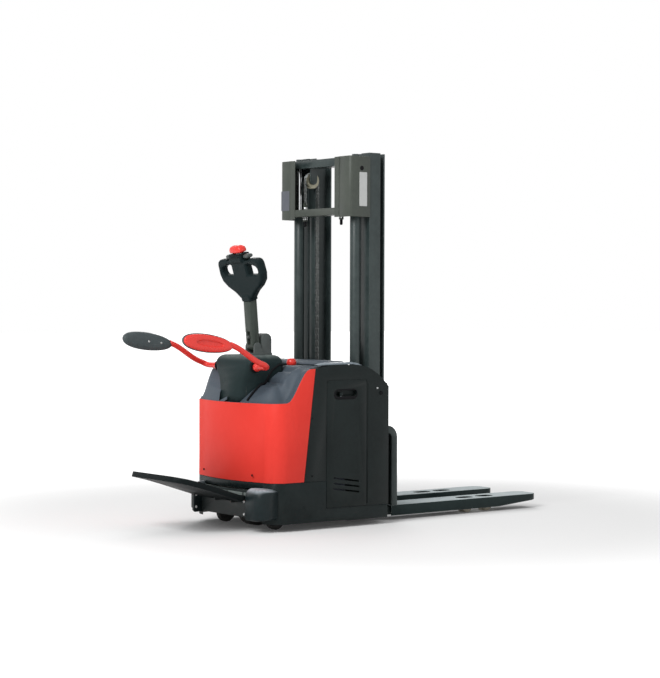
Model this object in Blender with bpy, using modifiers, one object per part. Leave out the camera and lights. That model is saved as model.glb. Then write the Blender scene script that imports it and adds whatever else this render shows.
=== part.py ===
# Electric walkie stacker: straddle chassis, two-stage mast, wrap-over forks, tiller, fold-down platform.
# Metres, +Z up, +X towards the fork tips, +Y to the machine's left. Z = 0 is the floor.

import math

import bpy
import bmesh
from mathutils import Matrix, Vector

# ---------------------------------------------------------------- fits and clearances
SEAT = 0.0003           # gap between pieces that touch
RUN = 0.0005            # radial running clearance of a pin, shaft or roller
PLAY = 0.004            # side play of a wheel, roller or pulley in its housing

# ---------------------------------------------------------------- overall sizes
HEEL_X = 0.182          # front face of the fork heel
MAST_TOP = 2.09         # top of the yoke and the crosshead, lowered
RAIL_TOP = 2.112        # top of the mast rails, lowered
BODY_HALF = 0.40        # half width of the body over its side panels
BODY_REAR = 1.005       # heel to the rearmost point of the drive cover
BODY_FRONT = 0.158      # heel to the front edge of the side panels
BODY_BOTTOM = 0.043     # ground clearance of the skirt
FORK_LENGTH = 1.135
FORK_WIDTH = 0.18
FORK_SPREAD = 0.576     # over both forks
FORK_TOP = 0.088        # lowered fork height
HEEL_STEP = 0.0005      # the fork steps down this far under the fork frame
STEER_BACK = 0.80       # heel to the steering axis


def back(distance):
    """World X of a station that lies this far behind the fork heel."""
    return HEEL_X - distance


# ---------------------------------------------------------------- legs, forks, load rollers
FORK_SKIN = 0.006
FORK_SKIRT = 0.061      # depth of a fork's side skirts
FORK_NOSE = 0.034       # depth of a fork at its tip
LEG_WIDTH = 0.115
LEG_BOTTOM = 0.030
LEG_TOP_GAP = 0.006     # leg under fork
LEG_REACH = 1.00        # leg length in front of the heel
ROLLER_R = 0.039        # load roller
ROLLER_WIDTH = 0.060
ROLLER_AXLE_R = 0.010
ROLLER_STATIONS = (0.60, 0.76)
FORK_Y = (FORK_SPREAD - FORK_WIDTH) / 2

# ---------------------------------------------------------------- mast
RAIL_REAR = 0.244       # heel to the rear face of the outer rails
RAIL_DEPTH = 0.080
RAIL_OUTER_Y = 0.326
RAIL_FLANGE = 0.075
RAIL_WALL = 0.012
INNER_FRONT = 0.119     # heel to the front face of the inner rails
INNER_WALL = 0.010
INNER_WEB_Y = 0.246     # outer face of the inner web
INNER_FLANGE = 0.056
INNER_LIP_Y = 0.310
INNER_BOTTOM = 0.090
BASE_TOP = 0.075        # top of the chassis cross-member that carries the mast
YOKE_REAR = 0.390
YOKE_HALF = 0.333
YOKE_BOTTOM = 1.746
YOKE_WALL = 0.012
YOKE_PLATE = 0.115      # width of each rear plate
CYL_BACK = 0.300
CYL_Y = 0.267
CYL_R = 0.030
CYL_BORE_R = 0.022
CYL_TOP = 1.790
ROD_R = 0.019
HEAD_DEPTH = 0.045      # height of the crosshead
CHAIN_Y = 0.172
CHAIN_WIDTH = 0.022
CHAIN_THICK = 0.012
PULLEY_BACK = 0.282
PULLEY_Z = 1.975
PULLEY_PITCH_R = 0.045
PULLEY_PIN_R = 0.010
ANCHOR_Z = 1.800        # top of the yoke's cross bar
CARRIAGE_TOP = 0.55
CARRIAGE_ROLL_R = 0.070
CARRIAGE_PLATE = 0.042  # depth of the fork frame's edge
CARRIAGE_SIDE_Y = 0.150
CARRIAGE_ROLLER_R = 0.042
CARRIAGE_ROLLER_Z = (0.150, 0.430)
LUG_Z = 0.400

# ---------------------------------------------------------------- body shells
COVER_WALL = 0.005
PANEL_WALL = 0.004
CORNER_R = 0.100
REAR_BOW = 0.040
SKIRT_TOP = 0.268
COVER_TOP = 0.700       # top edge of the drive cover round the rear
DECK_TOP = 0.900        # console between hood and lid
SEAM_TOP_BACK = 0.680   # heel to the cover's front seam at its top
SEAM_BOTTOM_BACK = 0.757
DOOR_REAR = 0.600
DOOR_FRONT = 0.320
DOOR_BOTTOM = 0.116
DOOR_TOP = 0.826
GRIP_BACK = 0.464       # door's slot handle
GRIP_Z = 0.752
LID_REAR = 0.570
LID_FRONT = 0.408
LID_THICK = 0.006
SHOULDER = 0.055        # width of the panels' top flange
SEAM = 0.0015           # visible gap between shells

# ---------------------------------------------------------------- hood, arms, tiller
HOOD_HALF = 0.150
HOOD_TOP_HALF = 0.182
HOOD_TOP = 0.965
HOOD_REAR = 0.980
HOOD_FRONT = 0.700
ARM_BACK = 0.930        # heel to the side arms' pivot axis
ARM_Z = 0.900
ARM_Y = 0.305
ARM_R = 0.014
ARM_LUG_R = 0.019       # bearing plates that carry the side arms
ARM_LUG_Y = 0.104
ARM_TOP_Z = 1.028       # arm's axis where it enters its pad
ARM_GRIP = 0.030        # arm's length inside its pad
PAD_REAR = 1.493
PAD_FRONT = 1.170
PAD_HEIGHT = 0.102
PAD_THICK = 0.040
TILT_BACK = 0.820       # heel to the tiller's tilt axis
TILT_Z = 1.012
TILT_PIN_R = 0.009
TILLER_LEAN = math.radians(5)
HEAD_LEAN = math.radians(17)
TILLER_DEEP = 0.050
TILLER_WIDE = 0.066
HEAD_THICK = 0.050
HEAD_BASE_Z = 1.275
POD_TOP = 0.272         # top of the head's pod, along the head
COLLAR_BOTTOM = -0.006  # head's collar, below the head's base along the head
CONTROL_BACK = 0.62     # heel to the key and the stop button
KEY_Y = 0.060
STOP_Y = -0.093

# ---------------------------------------------------------------- drive, casters, platform
WHEEL_R = 0.115
WHEEL_WIDTH = 0.075
WHEEL_AXLE_R = 0.014
FRAME_DECK = 0.300      # top of the chassis deck round the turntable
DECK_PLATE = 0.012
TURNTABLE_R = 0.105
MOTOR_R = 0.072
MOTOR_TOP = 0.560
CASTER_Y = 0.240
CASTER_BACK = 0.810     # heel to the casters' swivel axes
CASTER_TRAIL = 0.030
CASTER_R = 0.058
CASTER_WIDTH = 0.034
TAIL_BACK = 0.9727      # heel to the tail plate that carries the platform bracket
HINGE_BACK = 1.022      # heel to the platform's hinge axis
HINGE_Z = 0.177
HINGE_PIN_R = 0.010
HINGE_HALF = 0.290
PLATFORM_HALF = 0.250
PLATFORM_REACH = 0.491
PLATFORM_THICK = 0.030
PLATFORM_RISE = 0.010   # deck surface above the hinge axis, platform level
PLATFORM_TILT = math.radians(18)

# ---------------------------------------------------------------- colours
RED = (0.80, 0.055, 0.04)
DARK = (0.045, 0.055, 0.055)
MAST_GREY = (0.075, 0.09, 0.088)
FORK_GREY = (0.16, 0.18, 0.175)
CONSOLE = (0.13, 0.155, 0.175)
BLACK = (0.02, 0.022, 0.022)
STEEL = (0.55, 0.56, 0.57)
BRASS = (0.55, 0.45, 0.25)
CREAM = (0.75, 0.70, 0.58)

for old in list(bpy.data.objects):
    bpy.data.objects.remove(old, do_unlink=True)

parts = bpy.data.collections.new("walkie_stacker")
cutters = bpy.data.collections.new("cutters")
bpy.context.scene.collection.children.link(parts)
bpy.context.scene.collection.children.link(cutters)


# ---------------------------------------------------------------- shape helpers
def take(obj, name):
    """Rename a new object and keep it out of every collection until it is filed."""
    obj.name = name
    for owner in list(obj.users_collection):
        owner.objects.unlink(obj)
    return obj


def fileAs(obj, collection):
    for owner in list(obj.users_collection):
        owner.objects.unlink(obj)
    collection.objects.link(obj)
    if collection is cutters:
        obj.hide_render = True
        obj.display_type = "WIRE"
    return obj


def applyScale(obj):
    obj.data.transform(Matrix.Diagonal(obj.scale).to_4x4())
    obj.scale = (1, 1, 1)


def box(x0, x1, y0, y1, z0, z1, bevel=0.0):
    """Block between two corners, with optional rounded edges."""
    bpy.ops.mesh.primitive_cube_add(size=1)
    obj = take(bpy.context.object, "block")
    obj.location = ((x0 + x1) / 2, (y0 + y1) / 2, (z0 + z1) / 2)
    obj.scale = (abs(x1 - x0), abs(y1 - y0), abs(z1 - z0))
    applyScale(obj)
    if bevel:
        rounding = obj.modifiers.new("rounding", "BEVEL")
        rounding.width = bevel
        rounding.segments = 2
    return obj


def cylinder(centre, radius, length, axis="Z", sides=24):
    """Cylinder centred on a point, along X, Y or Z."""
    bpy.ops.mesh.primitive_cylinder_add(radius=radius, depth=length, vertices=sides)
    obj = take(bpy.context.object, "round")
    turn = {"X": (0, math.pi / 2, 0), "Y": (math.pi / 2, 0, 0), "Z": (0, 0, 0)}[axis]
    obj.rotation_euler = turn
    obj.location = centre
    obj.data.shade_smooth()
    obj.data.set_sharp_from_angle(angle=math.radians(35))
    return obj


def turned(profile, centre, axis="Z", sides=24):
    """Turned piece: a profile of (radius, height), top to bottom down its outer side."""
    mesh = bpy.data.meshes.new("turned")
    points = [(r, 0, h) for r, h in profile]
    mesh.from_pydata(points, [(i, i + 1) for i in range(len(points) - 1)], [])
    obj = bpy.data.objects.new("turned", mesh)
    screw = obj.modifiers.new("turn", "SCREW")
    screw.steps = sides
    screw.render_steps = sides
    screw.use_merge_vertices = True
    screw.merge_threshold = 0.00001
    screw.use_smooth_shade = True
    turn = {"X": (0, math.pi / 2, 0), "Y": (math.pi / 2, 0, 0), "Z": (0, 0, 0)}[axis]
    obj.rotation_euler = turn
    obj.location = centre
    return obj


def ringProfile(inner, outer, half, edge=0.0):
    """Closed profile of a bored roller or wheel, with chamfered rims if edge is set, for turned()."""
    rim = [(outer, half), (outer, -half)]
    if edge:
        rim = [(outer - edge, half), (outer, half - edge), (outer, edge - half), (outer - edge, -half)]
    return [(inner, half)] + rim + [(inner, -half), (inner, half)]


def meshFrom(curve_obj):
    """Mesh copy of a curve object, with its caps welded; the curve is removed."""
    bpy.context.scene.collection.objects.link(curve_obj)
    depsgraph = bpy.context.evaluated_depsgraph_get()
    mesh = bpy.data.meshes.new_from_object(curve_obj.evaluated_get(depsgraph))
    work = bmesh.new()
    work.from_mesh(mesh)
    bmesh.ops.remove_doubles(work, verts=work.verts, dist=0.00001)
    bmesh.ops.recalc_face_normals(work, faces=work.faces)
    work.to_mesh(mesh)
    work.free()
    obj = bpy.data.objects.new("shape", mesh)
    obj.matrix_world = curve_obj.matrix_world.copy()
    bpy.data.objects.remove(curve_obj, do_unlink=True)
    return obj


def outline(points, low, high, plane="XZ", bevel=0.0, holes=()):
    """Flat outline extruded from low to high along the axis that is missing from its plane."""
    curve = bpy.data.curves.new("outline", "CURVE")
    curve.dimensions = "2D"
    curve.fill_mode = "BOTH"
    curve.extrude = (high - low) / 2 - bevel
    curve.bevel_depth = bevel
    curve.bevel_resolution = 1
    curve.offset = -bevel
    for loop in (points, *holes):
        spline = curve.splines.new("POLY")
        spline.points.add(len(loop) - 1)
        for point, (u, v) in zip(spline.points, loop):
            point.co = (u, v, 0, 1)
        spline.use_cyclic_u = True
    obj = bpy.data.objects.new("outline", curve)
    middle = (low + high) / 2
    if plane == "XZ":
        obj.matrix_world = Matrix.Translation((0, middle, 0)) @ Matrix.Rotation(math.pi / 2, 4, "X")
    elif plane == "XY":
        obj.matrix_world = Matrix.Translation((0, 0, middle))
    else:
        turn = Matrix(((0, 0, 1, 0), (1, 0, 0, 0), (0, 1, 0, 0), (0, 0, 0, 1)))
        obj.matrix_world = Matrix.Translation((middle, 0, 0)) @ turn
    return meshFrom(obj)


def pipe(points, radius, resolution=3):
    """Round bar along a list of points."""
    curve = bpy.data.curves.new("pipe", "CURVE")
    curve.dimensions = "3D"
    curve.bevel_depth = radius
    curve.bevel_resolution = resolution
    curve.use_fill_caps = True
    spline = curve.splines.new("POLY")
    spline.points.add(len(points) - 1)
    for point, place in zip(spline.points, points):
        point.co = (*place, 1)
    return meshFrom(bpy.data.objects.new("pipe", curve))


def arc(cx, cy, radius, start, end, steps=6):
    """Points on an arc, angles in degrees."""
    angles = [math.radians(start + (end - start) * i / steps) for i in range(steps + 1)]
    return [(cx + radius * math.cos(a), cy + radius * math.sin(a)) for a in angles]


def stadium(cx, cy, half_long, half_short, steps=6):
    """Slot with round ends, long along the first coordinate."""
    run = half_long - half_short
    return (arc(cx + run, cy, half_short, -90, 90, steps)
            + arc(cx - run, cy, half_short, 90, 270, steps))


def shape(obj, *changes):
    """Boolean steps on a base object: ("UNION", other), ("DIFFERENCE", other) or ("INTERSECT", other)."""
    for operation, other in changes:
        fileAs(other, cutters)
        step = obj.modifiers.new(operation.lower(), "BOOLEAN")
        step.operation = operation
        step.object = other
        step.solver = "EXACT"
    return obj


def add(*others):
    return [("UNION", other) for other in others]


def cut(*others):
    return [("DIFFERENCE", other) for other in others]


def part(name, obj, colour, rough=0.5, metal=0.0, pivot=None):
    """File a finished piece under its own name, with its own material and its origin on its pivot."""
    obj.name = name
    obj.data.name = name
    surface = bpy.data.materials.new(name)
    surface.use_nodes = True
    shader = surface.node_tree.nodes["Principled BSDF"]
    shader.inputs["Base Color"].default_value = (*colour, 1)
    shader.inputs["Roughness"].default_value = rough
    shader.inputs["Metallic"].default_value = metal
    obj.data.materials.clear()
    obj.data.materials.append(surface)
    fileAs(obj, parts)
    if pivot:
        axis = bpy.data.objects.new("axis_of_" + name, None)
        axis.empty_display_size = 0.03
        axis.location = pivot
        cutters.objects.link(axis)
        obj.parent = axis
        obj.matrix_parent_inverse = Matrix.Translation(-Vector(pivot))
    return obj


SIDES = (("left", 1), ("right", -1))


# ---------------------------------------------------------------- outlines shared by the shells
def bodyPlan(inset, front):
    """Plan of the body: straight sides, round rear corners and a bowed rear, front left to front right."""
    half = BODY_HALF - inset
    radius = CORNER_R - inset
    rear = back(BODY_REAR - inset)
    corner_x = rear + REAR_BOW + radius
    corner_y = half - radius
    left = [(front, half)] + arc(corner_x, corner_y, radius, 90, 180, 8)
    steps = 5
    bowed = []
    for i in range(1, steps):
        y = corner_y * (1 - i / steps)
        bowed.append((rear + REAR_BOW * (y / corner_y) ** 2, y))
    half_plan = left + bowed
    return half_plan + [(rear, 0)] + [(x, -y) for x, y in reversed(half_plan)]


def deckLine(lower=0.0):
    """Side view of the console: low round the rear, an S-curve, then the deck behind the lid."""
    low = COVER_TOP + 0.004
    rise_start = back(0.872)
    rise_end = back(0.715)
    steps = 8
    points = [(back(BODY_REAR), low - lower)]
    for i in range(steps + 1):
        t = i / steps
        ease = t * t * (3 - 2 * t)
        points.append((rise_start + (rise_end - rise_start) * t,
                       low + (DECK_TOP - 0.012 - low) * ease - lower))
    points.append((back(LID_REAR), DECK_TOP + 0.006 - lower))
    return points


def shoulderLine(lower=0.0):
    """Side view of the body's top edge from the cover's seam to the front corner."""
    steps = 6
    points = [(back(SEAM_TOP_BACK), DECK_TOP - 0.008 - lower)]
    points += [(back(LID_REAR), DECK_TOP + 0.010 - lower), (back(0.48), DECK_TOP + 0.013 - lower)]
    drop_start = back(0.40)
    drop_end = back(BODY_FRONT)
    for i in range(1, steps + 1):
        t = i / steps
        x = drop_start + (drop_end - drop_start) * t
        points.append((x, DECK_TOP + 0.009 - 0.125 * t ** 2.2 - lower))
    return points


def shellWall(inset, front, low, high, wall):
    """Upright wall along the body plan, thickened inwards."""
    outer = bodyPlan(inset, front)
    inner = bodyPlan(inset + wall, front)
    return outline(outer + list(reversed(inner)), low, high, "XY")


def sideRegion(points, half=0.6):
    """Tall prism over a side view, used to trim shells."""
    return outline(points, -half, half, "XZ")


# ---------------------------------------------------------------- chassis
def chassisFrame():
    leg_y = FORK_Y
    base = box(back(RAIL_REAR + 0.16), back(INNER_FRONT), -0.345, 0.345, LEG_BOTTOM, BASE_TOP)
    skirt_in = BODY_HALF - 0.001 - COVER_WALL - SEAT
    floor = box(back(0.66), back(RAIL_REAR + 0.10), -skirt_in, skirt_in, 0.052, 0.066)
    deck = box(back(0.935), back(0.635), -0.340, 0.340, FRAME_DECK - DECK_PLATE, FRAME_DECK)
    wall = box(back(0.645), back(0.635), -0.352, 0.352, 0.060, FRAME_DECK)
    panel_in = BODY_HALF - PANEL_WALL - SEAT
    panel_tab = box(back(0.645), back(0.615), -panel_in, panel_in, FRAME_DECK - 0.020, FRAME_DECK - 0.002)
    cover_in = BODY_HALF - COVER_WALL - SEAT
    cover_tab = box(back(0.840), back(0.780), -cover_in, cover_in, FRAME_DECK - DECK_PLATE + 0.001,
                    FRAME_DECK - 0.001)
    turntable_hole = cylinder((back(STEER_BACK), 0, FRAME_DECK), TURNTABLE_R + 0.004, 0.06, sides=32)
    uprights = []
    for _, side in SIDES:
        lug = outline([(back(ARM_BACK + ARM_LUG_R), 0.285), (back(ARM_BACK - ARM_LUG_R), 0.285),
                       (back(ARM_BACK - ARM_LUG_R), ARM_Z), *arc(back(ARM_BACK), ARM_Z, ARM_LUG_R, 0, 180, 6)],
                      min(side * ARM_LUG_Y, side * (ARM_LUG_Y + 0.012)),
                      max(side * ARM_LUG_Y, side * (ARM_LUG_Y + 0.012)), "XZ")
        uprights.append(lug)
    tail = box(back(TAIL_BACK), back(0.930), -0.140, 0.140, FRAME_DECK - DECK_PLATE, FRAME_DECK - 0.001)
    tail_plate = box(back(TAIL_BACK), back(TAIL_BACK - 0.010), -0.140, 0.140, 0.090, FRAME_DECK - 0.002)
    caster_seats = [box(back(CASTER_BACK + 0.05), back(CASTER_BACK - 0.05), side * (CASTER_Y - 0.05),
                        side * (CASTER_Y + 0.05), 0.150, 0.162) for _, side in SIDES]
    caster_legs = [box(back(CASTER_BACK - 0.046), back(CASTER_BACK - 0.056), side * (CASTER_Y - 0.05),
                       side * (CASTER_Y + 0.05), 0.150, FRAME_DECK - 0.004) for _, side in SIDES]
    pivot_bore = cylinder((back(ARM_BACK), 0, ARM_Z), ARM_R + RUN, 0.5, "Y", 24)
    swivel_bores = [cylinder((back(CASTER_BACK), side * CASTER_Y, 0.156), 0.0125, 0.05) for _, side in SIDES]
    shape(base, *add(floor, deck, wall, tail, *uprights, *caster_seats, *caster_legs, tail_plate),
          *add(panel_tab, cover_tab),
          *cut(turntable_hole, pivot_bore, *swivel_bores))
    part("chassis_frame", base, DARK, 0.55, 0.3)
    for name, side in SIDES:
        leg = box(back(INNER_FRONT) + SEAT, HEEL_X + LEG_REACH, side * leg_y - LEG_WIDTH / 2,
                  side * leg_y + LEG_WIDTH / 2, LEG_BOTTOM, FORK_TOP - FORK_SKIN - LEG_TOP_GAP)
        first, last = ROLLER_STATIONS
        slot = box(HEEL_X + first - 0.055, HEEL_X + last + 0.055, side * leg_y - ROLLER_WIDTH / 2 - PLAY,
                   side * leg_y + ROLLER_WIDTH / 2 + PLAY, 0, 0.2)
        axles = [cylinder((HEEL_X + x, side * leg_y, ROLLER_R), ROLLER_AXLE_R, LEG_WIDTH - 0.01, "Y", 16)
                 for x in ROLLER_STATIONS]
        nose = box(HEEL_X + LEG_REACH - 0.09, HEEL_X + LEG_REACH + 0.02, side * leg_y - 0.1,
                   side * leg_y + 0.1, 0, LEG_BOTTOM + 0.008)
        part("leg_" + name, shape(leg, *cut(slot, nose), *add(*axles)), MAST_GREY, 0.5, 0.3)
        for number, x in enumerate(ROLLER_STATIONS, 1):
            centre = (HEEL_X + x, side * leg_y, ROLLER_R)
            roller = turned(ringProfile(ROLLER_AXLE_R + RUN, ROLLER_R, ROLLER_WIDTH / 2), centre, "Y", 24)
            part(f"load_roller_{name}_{number}", roller, CREAM, 0.5, 0, centre)


# ---------------------------------------------------------------- mast
def outerMast():
    for name, side in SIDES:
        rear, front = back(RAIL_REAR), back(RAIL_REAR - RAIL_DEPTH)
        outer, inner = RAIL_OUTER_Y, RAIL_OUTER_Y - RAIL_FLANGE
        section = [(rear, inner), (rear, outer), (front, outer), (front, inner), (front - RAIL_WALL, inner),
                   (front - RAIL_WALL, outer - RAIL_WALL), (rear + RAIL_WALL, outer - RAIL_WALL),
                   (rear + RAIL_WALL, inner)]
        rail = outline([(x, side * y) for x, y in section], BASE_TOP + SEAT, RAIL_TOP, "XY")
        part("outer_rail_" + name, rail, MAST_GREY, 0.45, 0.4)
    rear, plate_front = back(YOKE_REAR), back(YOKE_REAR - YOKE_WALL)
    bar_front = back(PULLEY_BACK + PULLEY_PITCH_R - 0.020)
    yoke = box(rear + 0.001, bar_front, -YOKE_HALF + 0.05, YOKE_HALF - 0.05, ANCHOR_Z - 0.040, ANCHOR_Z)
    sides = []
    for _, side in SIDES:
        corner = 0.022
        outer = YOKE_HALF
        edge = (arc(rear + corner, outer - corner, corner, 180, 90, 4)
                + [(back(RAIL_REAR) - SEAT, outer), (back(RAIL_REAR) - SEAT, outer - YOKE_WALL)]
                + arc(rear + corner, outer - corner, corner - YOKE_WALL, 90, 180, 4)
                + [(plate_front, outer - YOKE_PLATE), (rear, outer - YOKE_PLATE)])
        sides.append(outline([(x, side * y) for x, y in edge], YOKE_BOTTOM, MAST_TOP - 0.001, "XY"))
    anchors = []
    for _, side in SIDES:
        x, y = back(PULLEY_BACK + PULLEY_PITCH_R), side * CHAIN_Y
        anchors.append(cylinder((x, y, ANCHOR_Z - 0.024), 0.0080, 0.116, sides=12))
        anchors.append(cylinder((x, y, ANCHOR_Z - 0.052), 0.014, 0.026, sides=6))
        anchors.append(box(x - 0.010, x + 0.010, y - 0.008, y + 0.008, ANCHOR_Z - 0.004, ANCHOR_Z + 0.044))
    barrel_ways = [cylinder((back(CYL_BACK), side * CYL_Y, ANCHOR_Z), CYL_R + 0.006, 0.2) for _, side in SIDES]
    part("mast_yoke", shape(yoke, *add(*sides), *cut(*barrel_ways), *add(*anchors)), MAST_GREY, 0.45, 0.4)
    for name, side in SIDES:
        barrel = turned([(CYL_BORE_R, CYL_TOP), (CYL_R - 0.003, CYL_TOP), (CYL_R, CYL_TOP - 0.003),
                         (CYL_R, BASE_TOP + SEAT), (0, BASE_TOP + SEAT), (0, 0.110), (CYL_BORE_R, 0.110),
                         (CYL_BORE_R, CYL_TOP)],
                        (back(CYL_BACK), side * CYL_Y, 0), "Z", 24)
        part("lift_cylinder_" + name, barrel, MAST_GREY, 0.4, 0.4)
        rod_top = MAST_TOP - HEAD_DEPTH - SEAT
        rod = turned([(0, rod_top), (ROD_R - 0.002, rod_top), (ROD_R, rod_top - 0.004), (ROD_R, 0.130),
                      (CYL_BORE_R - RUN, 0.128), (CYL_BORE_R - RUN, 0.112), (0, 0.112)],
                     (back(CYL_BACK), side * CYL_Y, 0), "Z", 24)
        part("lift_rod_" + name, rod, STEEL, 0.15, 1.0)


def innerMast():
    front, rear = back(INNER_FRONT), back(RAIL_REAR - 0.004)
    web, lip = INNER_WEB_Y, INNER_LIP_Y
    inner = web - INNER_FLANGE
    wall = INNER_WALL
    rails = []
    for _, side in SIDES:
        section = [(rear, inner), (rear, web), (front - wall, web), (front - wall, lip), (front, lip),
                   (front, inner), (front - wall, inner), (front - wall, web - wall), (rear + wall, web - wall),
                   (rear + wall, inner)]
        rails.append(outline([(x, side * y) for x, y in section], INNER_BOTTOM, RAIL_TOP - 0.002, "XY"))
    head_front = back(RAIL_REAR + 0.003)
    head = box(back(CYL_BACK + 0.036), head_front, -lip, lip, MAST_TOP - HEAD_DEPTH, MAST_TOP)
    neck = box(head_front - 0.004, rear + wall, -web, web, MAST_TOP - HEAD_DEPTH, MAST_TOP - 0.001)
    foot = box(rear - 0.014, rear + 0.002, -inner - 0.02, inner + 0.02, 0.110, 0.230)
    rod_nuts = [cylinder((back(CYL_BACK), side * CYL_Y, MAST_TOP + 0.006), 0.020, 0.016, sides=6)
                for _, side in SIDES]
    pulley_x = back(PULLEY_BACK)
    lugs = []
    for _, side in SIDES:
        near = CHAIN_Y - CHAIN_WIDTH / 2 - PLAY
        low, high = sorted((side * (near - 0.010), side * near))
        lugs.append(outline([(pulley_x - 0.024, MAST_TOP - 0.02), (pulley_x - 0.024, PULLEY_Z),
                             *arc(pulley_x, PULLEY_Z, 0.024, 180, 360, 6), (pulley_x + 0.024, MAST_TOP - 0.02)],
                            low, high, "XZ"))
    pins = [cylinder((pulley_x, side * CHAIN_Y, PULLEY_Z), PULLEY_PIN_R, CHAIN_WIDTH + 4 * PLAY, "Y", 16)
            for _, side in SIDES]
    part("inner_mast", shape(rails[0], *add(rails[1], head, neck, foot, *rod_nuts, *lugs, *pins)),
         MAST_GREY, 0.45, 0.4)
    for name, side in SIDES:
        centre = (pulley_x, side * CHAIN_Y, PULLEY_Z)
        half = CHAIN_WIDTH / 2 + 0.002
        groove = PULLEY_PITCH_R - CHAIN_THICK / 2 - 3 * SEAT
        rim, lip = PULLEY_PITCH_R + 0.001, half - 0.0014
        profile = [(PULLEY_PIN_R + RUN, half), (rim, half), (rim, lip), (groove, lip), (groove, -lip),
                   (rim, -lip), (rim, -half), (PULLEY_PIN_R + RUN, -half), (PULLEY_PIN_R + RUN, half)]
        part("chain_pulley_" + name, turned(profile, centre, "Y", 24), BRASS, 0.4, 0.7, centre)
        liftChain(name, side)


def liftChain(name, side):
    """Flat band over the pulley: anchor side, half turn, carriage side."""
    x, z, r, t = back(PULLEY_BACK), PULLEY_Z, PULLEY_PITCH_R, CHAIN_THICK / 2
    anchor = ANCHOR_Z + 0.044 + SEAT
    carriage = LUG_Z + SEAT
    band = ([(x - r - t, anchor)] + arc(x, z, r + t, 180, 0, 12)
            + [(x + r + t, carriage), (x + r - t, carriage)] + arc(x, z, r - t, 0, 180, 12) + [(x - r + t, anchor)])
    low = side * CHAIN_Y - CHAIN_WIDTH / 2 + 0.001
    part("lift_chain_" + name, outline(band, low, low + CHAIN_WIDTH - 0.002, "XZ"), STEEL, 0.45, 0.8)


# ---------------------------------------------------------------- carriage and forks
def carriage():
    half = FORK_SPREAD / 2
    deep, skin = CARRIAGE_PLATE, 0.012
    turn = CARRIAGE_ROLL_R
    low = FORK_TOP - HEEL_STEP + SEAT

    def band(outer_offset, thick, bottom):
        x = HEEL_X - outer_offset
        r = turn - outer_offset
        centre_x, centre_z = HEEL_X - turn, CARRIAGE_TOP - turn
        outer = [(x, bottom)] + arc(centre_x, centre_z, r, 0, 90, 6) + [(centre_x - 0.015, centre_z + r)]
        inner = [(centre_x - 0.015, centre_z + r - thick)] + arc(centre_x, centre_z, r - thick, 90, 0, 6)
        return outer + inner + [(x - thick, bottom)]

    skin_plate = outline(band(0, skin, low), -half, half, "XZ")
    edges = [outline(band(0, deep, low), min(side * (half - 0.014), side * half),
                     max(side * (half - 0.014), side * half), "XZ") for _, side in SIDES]
    side_y = CARRIAGE_SIDE_Y
    rear = back(RAIL_REAR - 0.018)
    cheeks = [box(rear, HEEL_X - 0.004, side * side_y, side * (side_y + 0.012), low, 0.500)
              for _, side in SIDES]
    stiffener = box(back(0.080), HEEL_X - 0.004, -side_y - 0.004, side_y + 0.004, 0.30, 0.318)
    lugs, axles = [], []
    chain_x = back(PULLEY_BACK - PULLEY_PITCH_R)
    for _, side in SIDES:
        lugs.append(box(chain_x - 0.012, rear + 0.012, side * (side_y + 0.001),
                        side * (INNER_WEB_Y - INNER_FLANGE - 0.004), LUG_Z - 0.030, LUG_Z))
        for z in CARRIAGE_ROLLER_Z:
            axles.append(cylinder((back(0.1855), side * 0.188, z), 0.014, 0.080, "Y", 16))
    part("fork_frame", shape(skin_plate, *add(*edges, *cheeks, stiffener, *lugs, *axles)), MAST_GREY, 0.45, 0.4)
    for name, side in SIDES:
        for number, z in enumerate(CARRIAGE_ROLLER_Z, 1):
            centre = (back(0.1855), side * 0.208, z)
            roller = turned(ringProfile(0.014 + RUN, CARRIAGE_ROLLER_R, 0.017), centre, "Y", 18)
            part(f"carriage_roller_{name}_{number}", roller, STEEL, 0.3, 0.9, centre)
        fork(name, side)


def fork(name, side):
    """Wrap-over fork: top plate and side skirts over a leg, tapered nose, slots over the rollers."""
    tip = HEEL_X + FORK_LENGTH
    rear = HEEL_X - CARRIAGE_PLATE
    centre = side * FORK_Y
    half = FORK_WIDTH / 2
    bottom = FORK_TOP - FORK_SKIRT
    profile = [(rear, FORK_TOP - HEEL_STEP), (HEEL_X + HEEL_STEP, FORK_TOP - HEEL_STEP),
               (HEEL_X + HEEL_STEP, FORK_TOP), (tip - 0.006, FORK_TOP), (tip, FORK_TOP - 0.008),
               (tip, FORK_TOP - FORK_NOSE), (HEEL_X + 0.80, bottom), (rear, bottom)]
    body = outline(profile, centre - half, centre + half, "XZ")
    inside = box(rear - 0.02, HEEL_X + LEG_REACH + 0.02, centre - half + FORK_SKIN, centre + half - FORK_SKIN,
                 0, FORK_TOP - FORK_SKIN)
    round_r = 0.070
    nose_x = tip - round_r
    plan = ([(rear - 0.1, centre - half - 0.05), (rear - 0.1, centre + half + 0.05)]
            + [(nose_x, centre + half + 0.05)]
            + arc(nose_x, centre + half - round_r, round_r, 90, 0, 6)
            + arc(nose_x, centre - half + round_r, round_r, 0, -90, 6) + [(nose_x, centre - half - 0.05)])
    rounded = outline(plan, 0, 0.2, "XY")
    slots = [outline(stadium(HEEL_X + x, centre, 0.062, 0.036), 0.07, 0.1, "XY") for x in ROLLER_STATIONS]
    part("fork_" + name, shape(body, *cut(inside, *slots), ("INTERSECT", rounded)), FORK_GREY, 0.45, 0.4)


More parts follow.
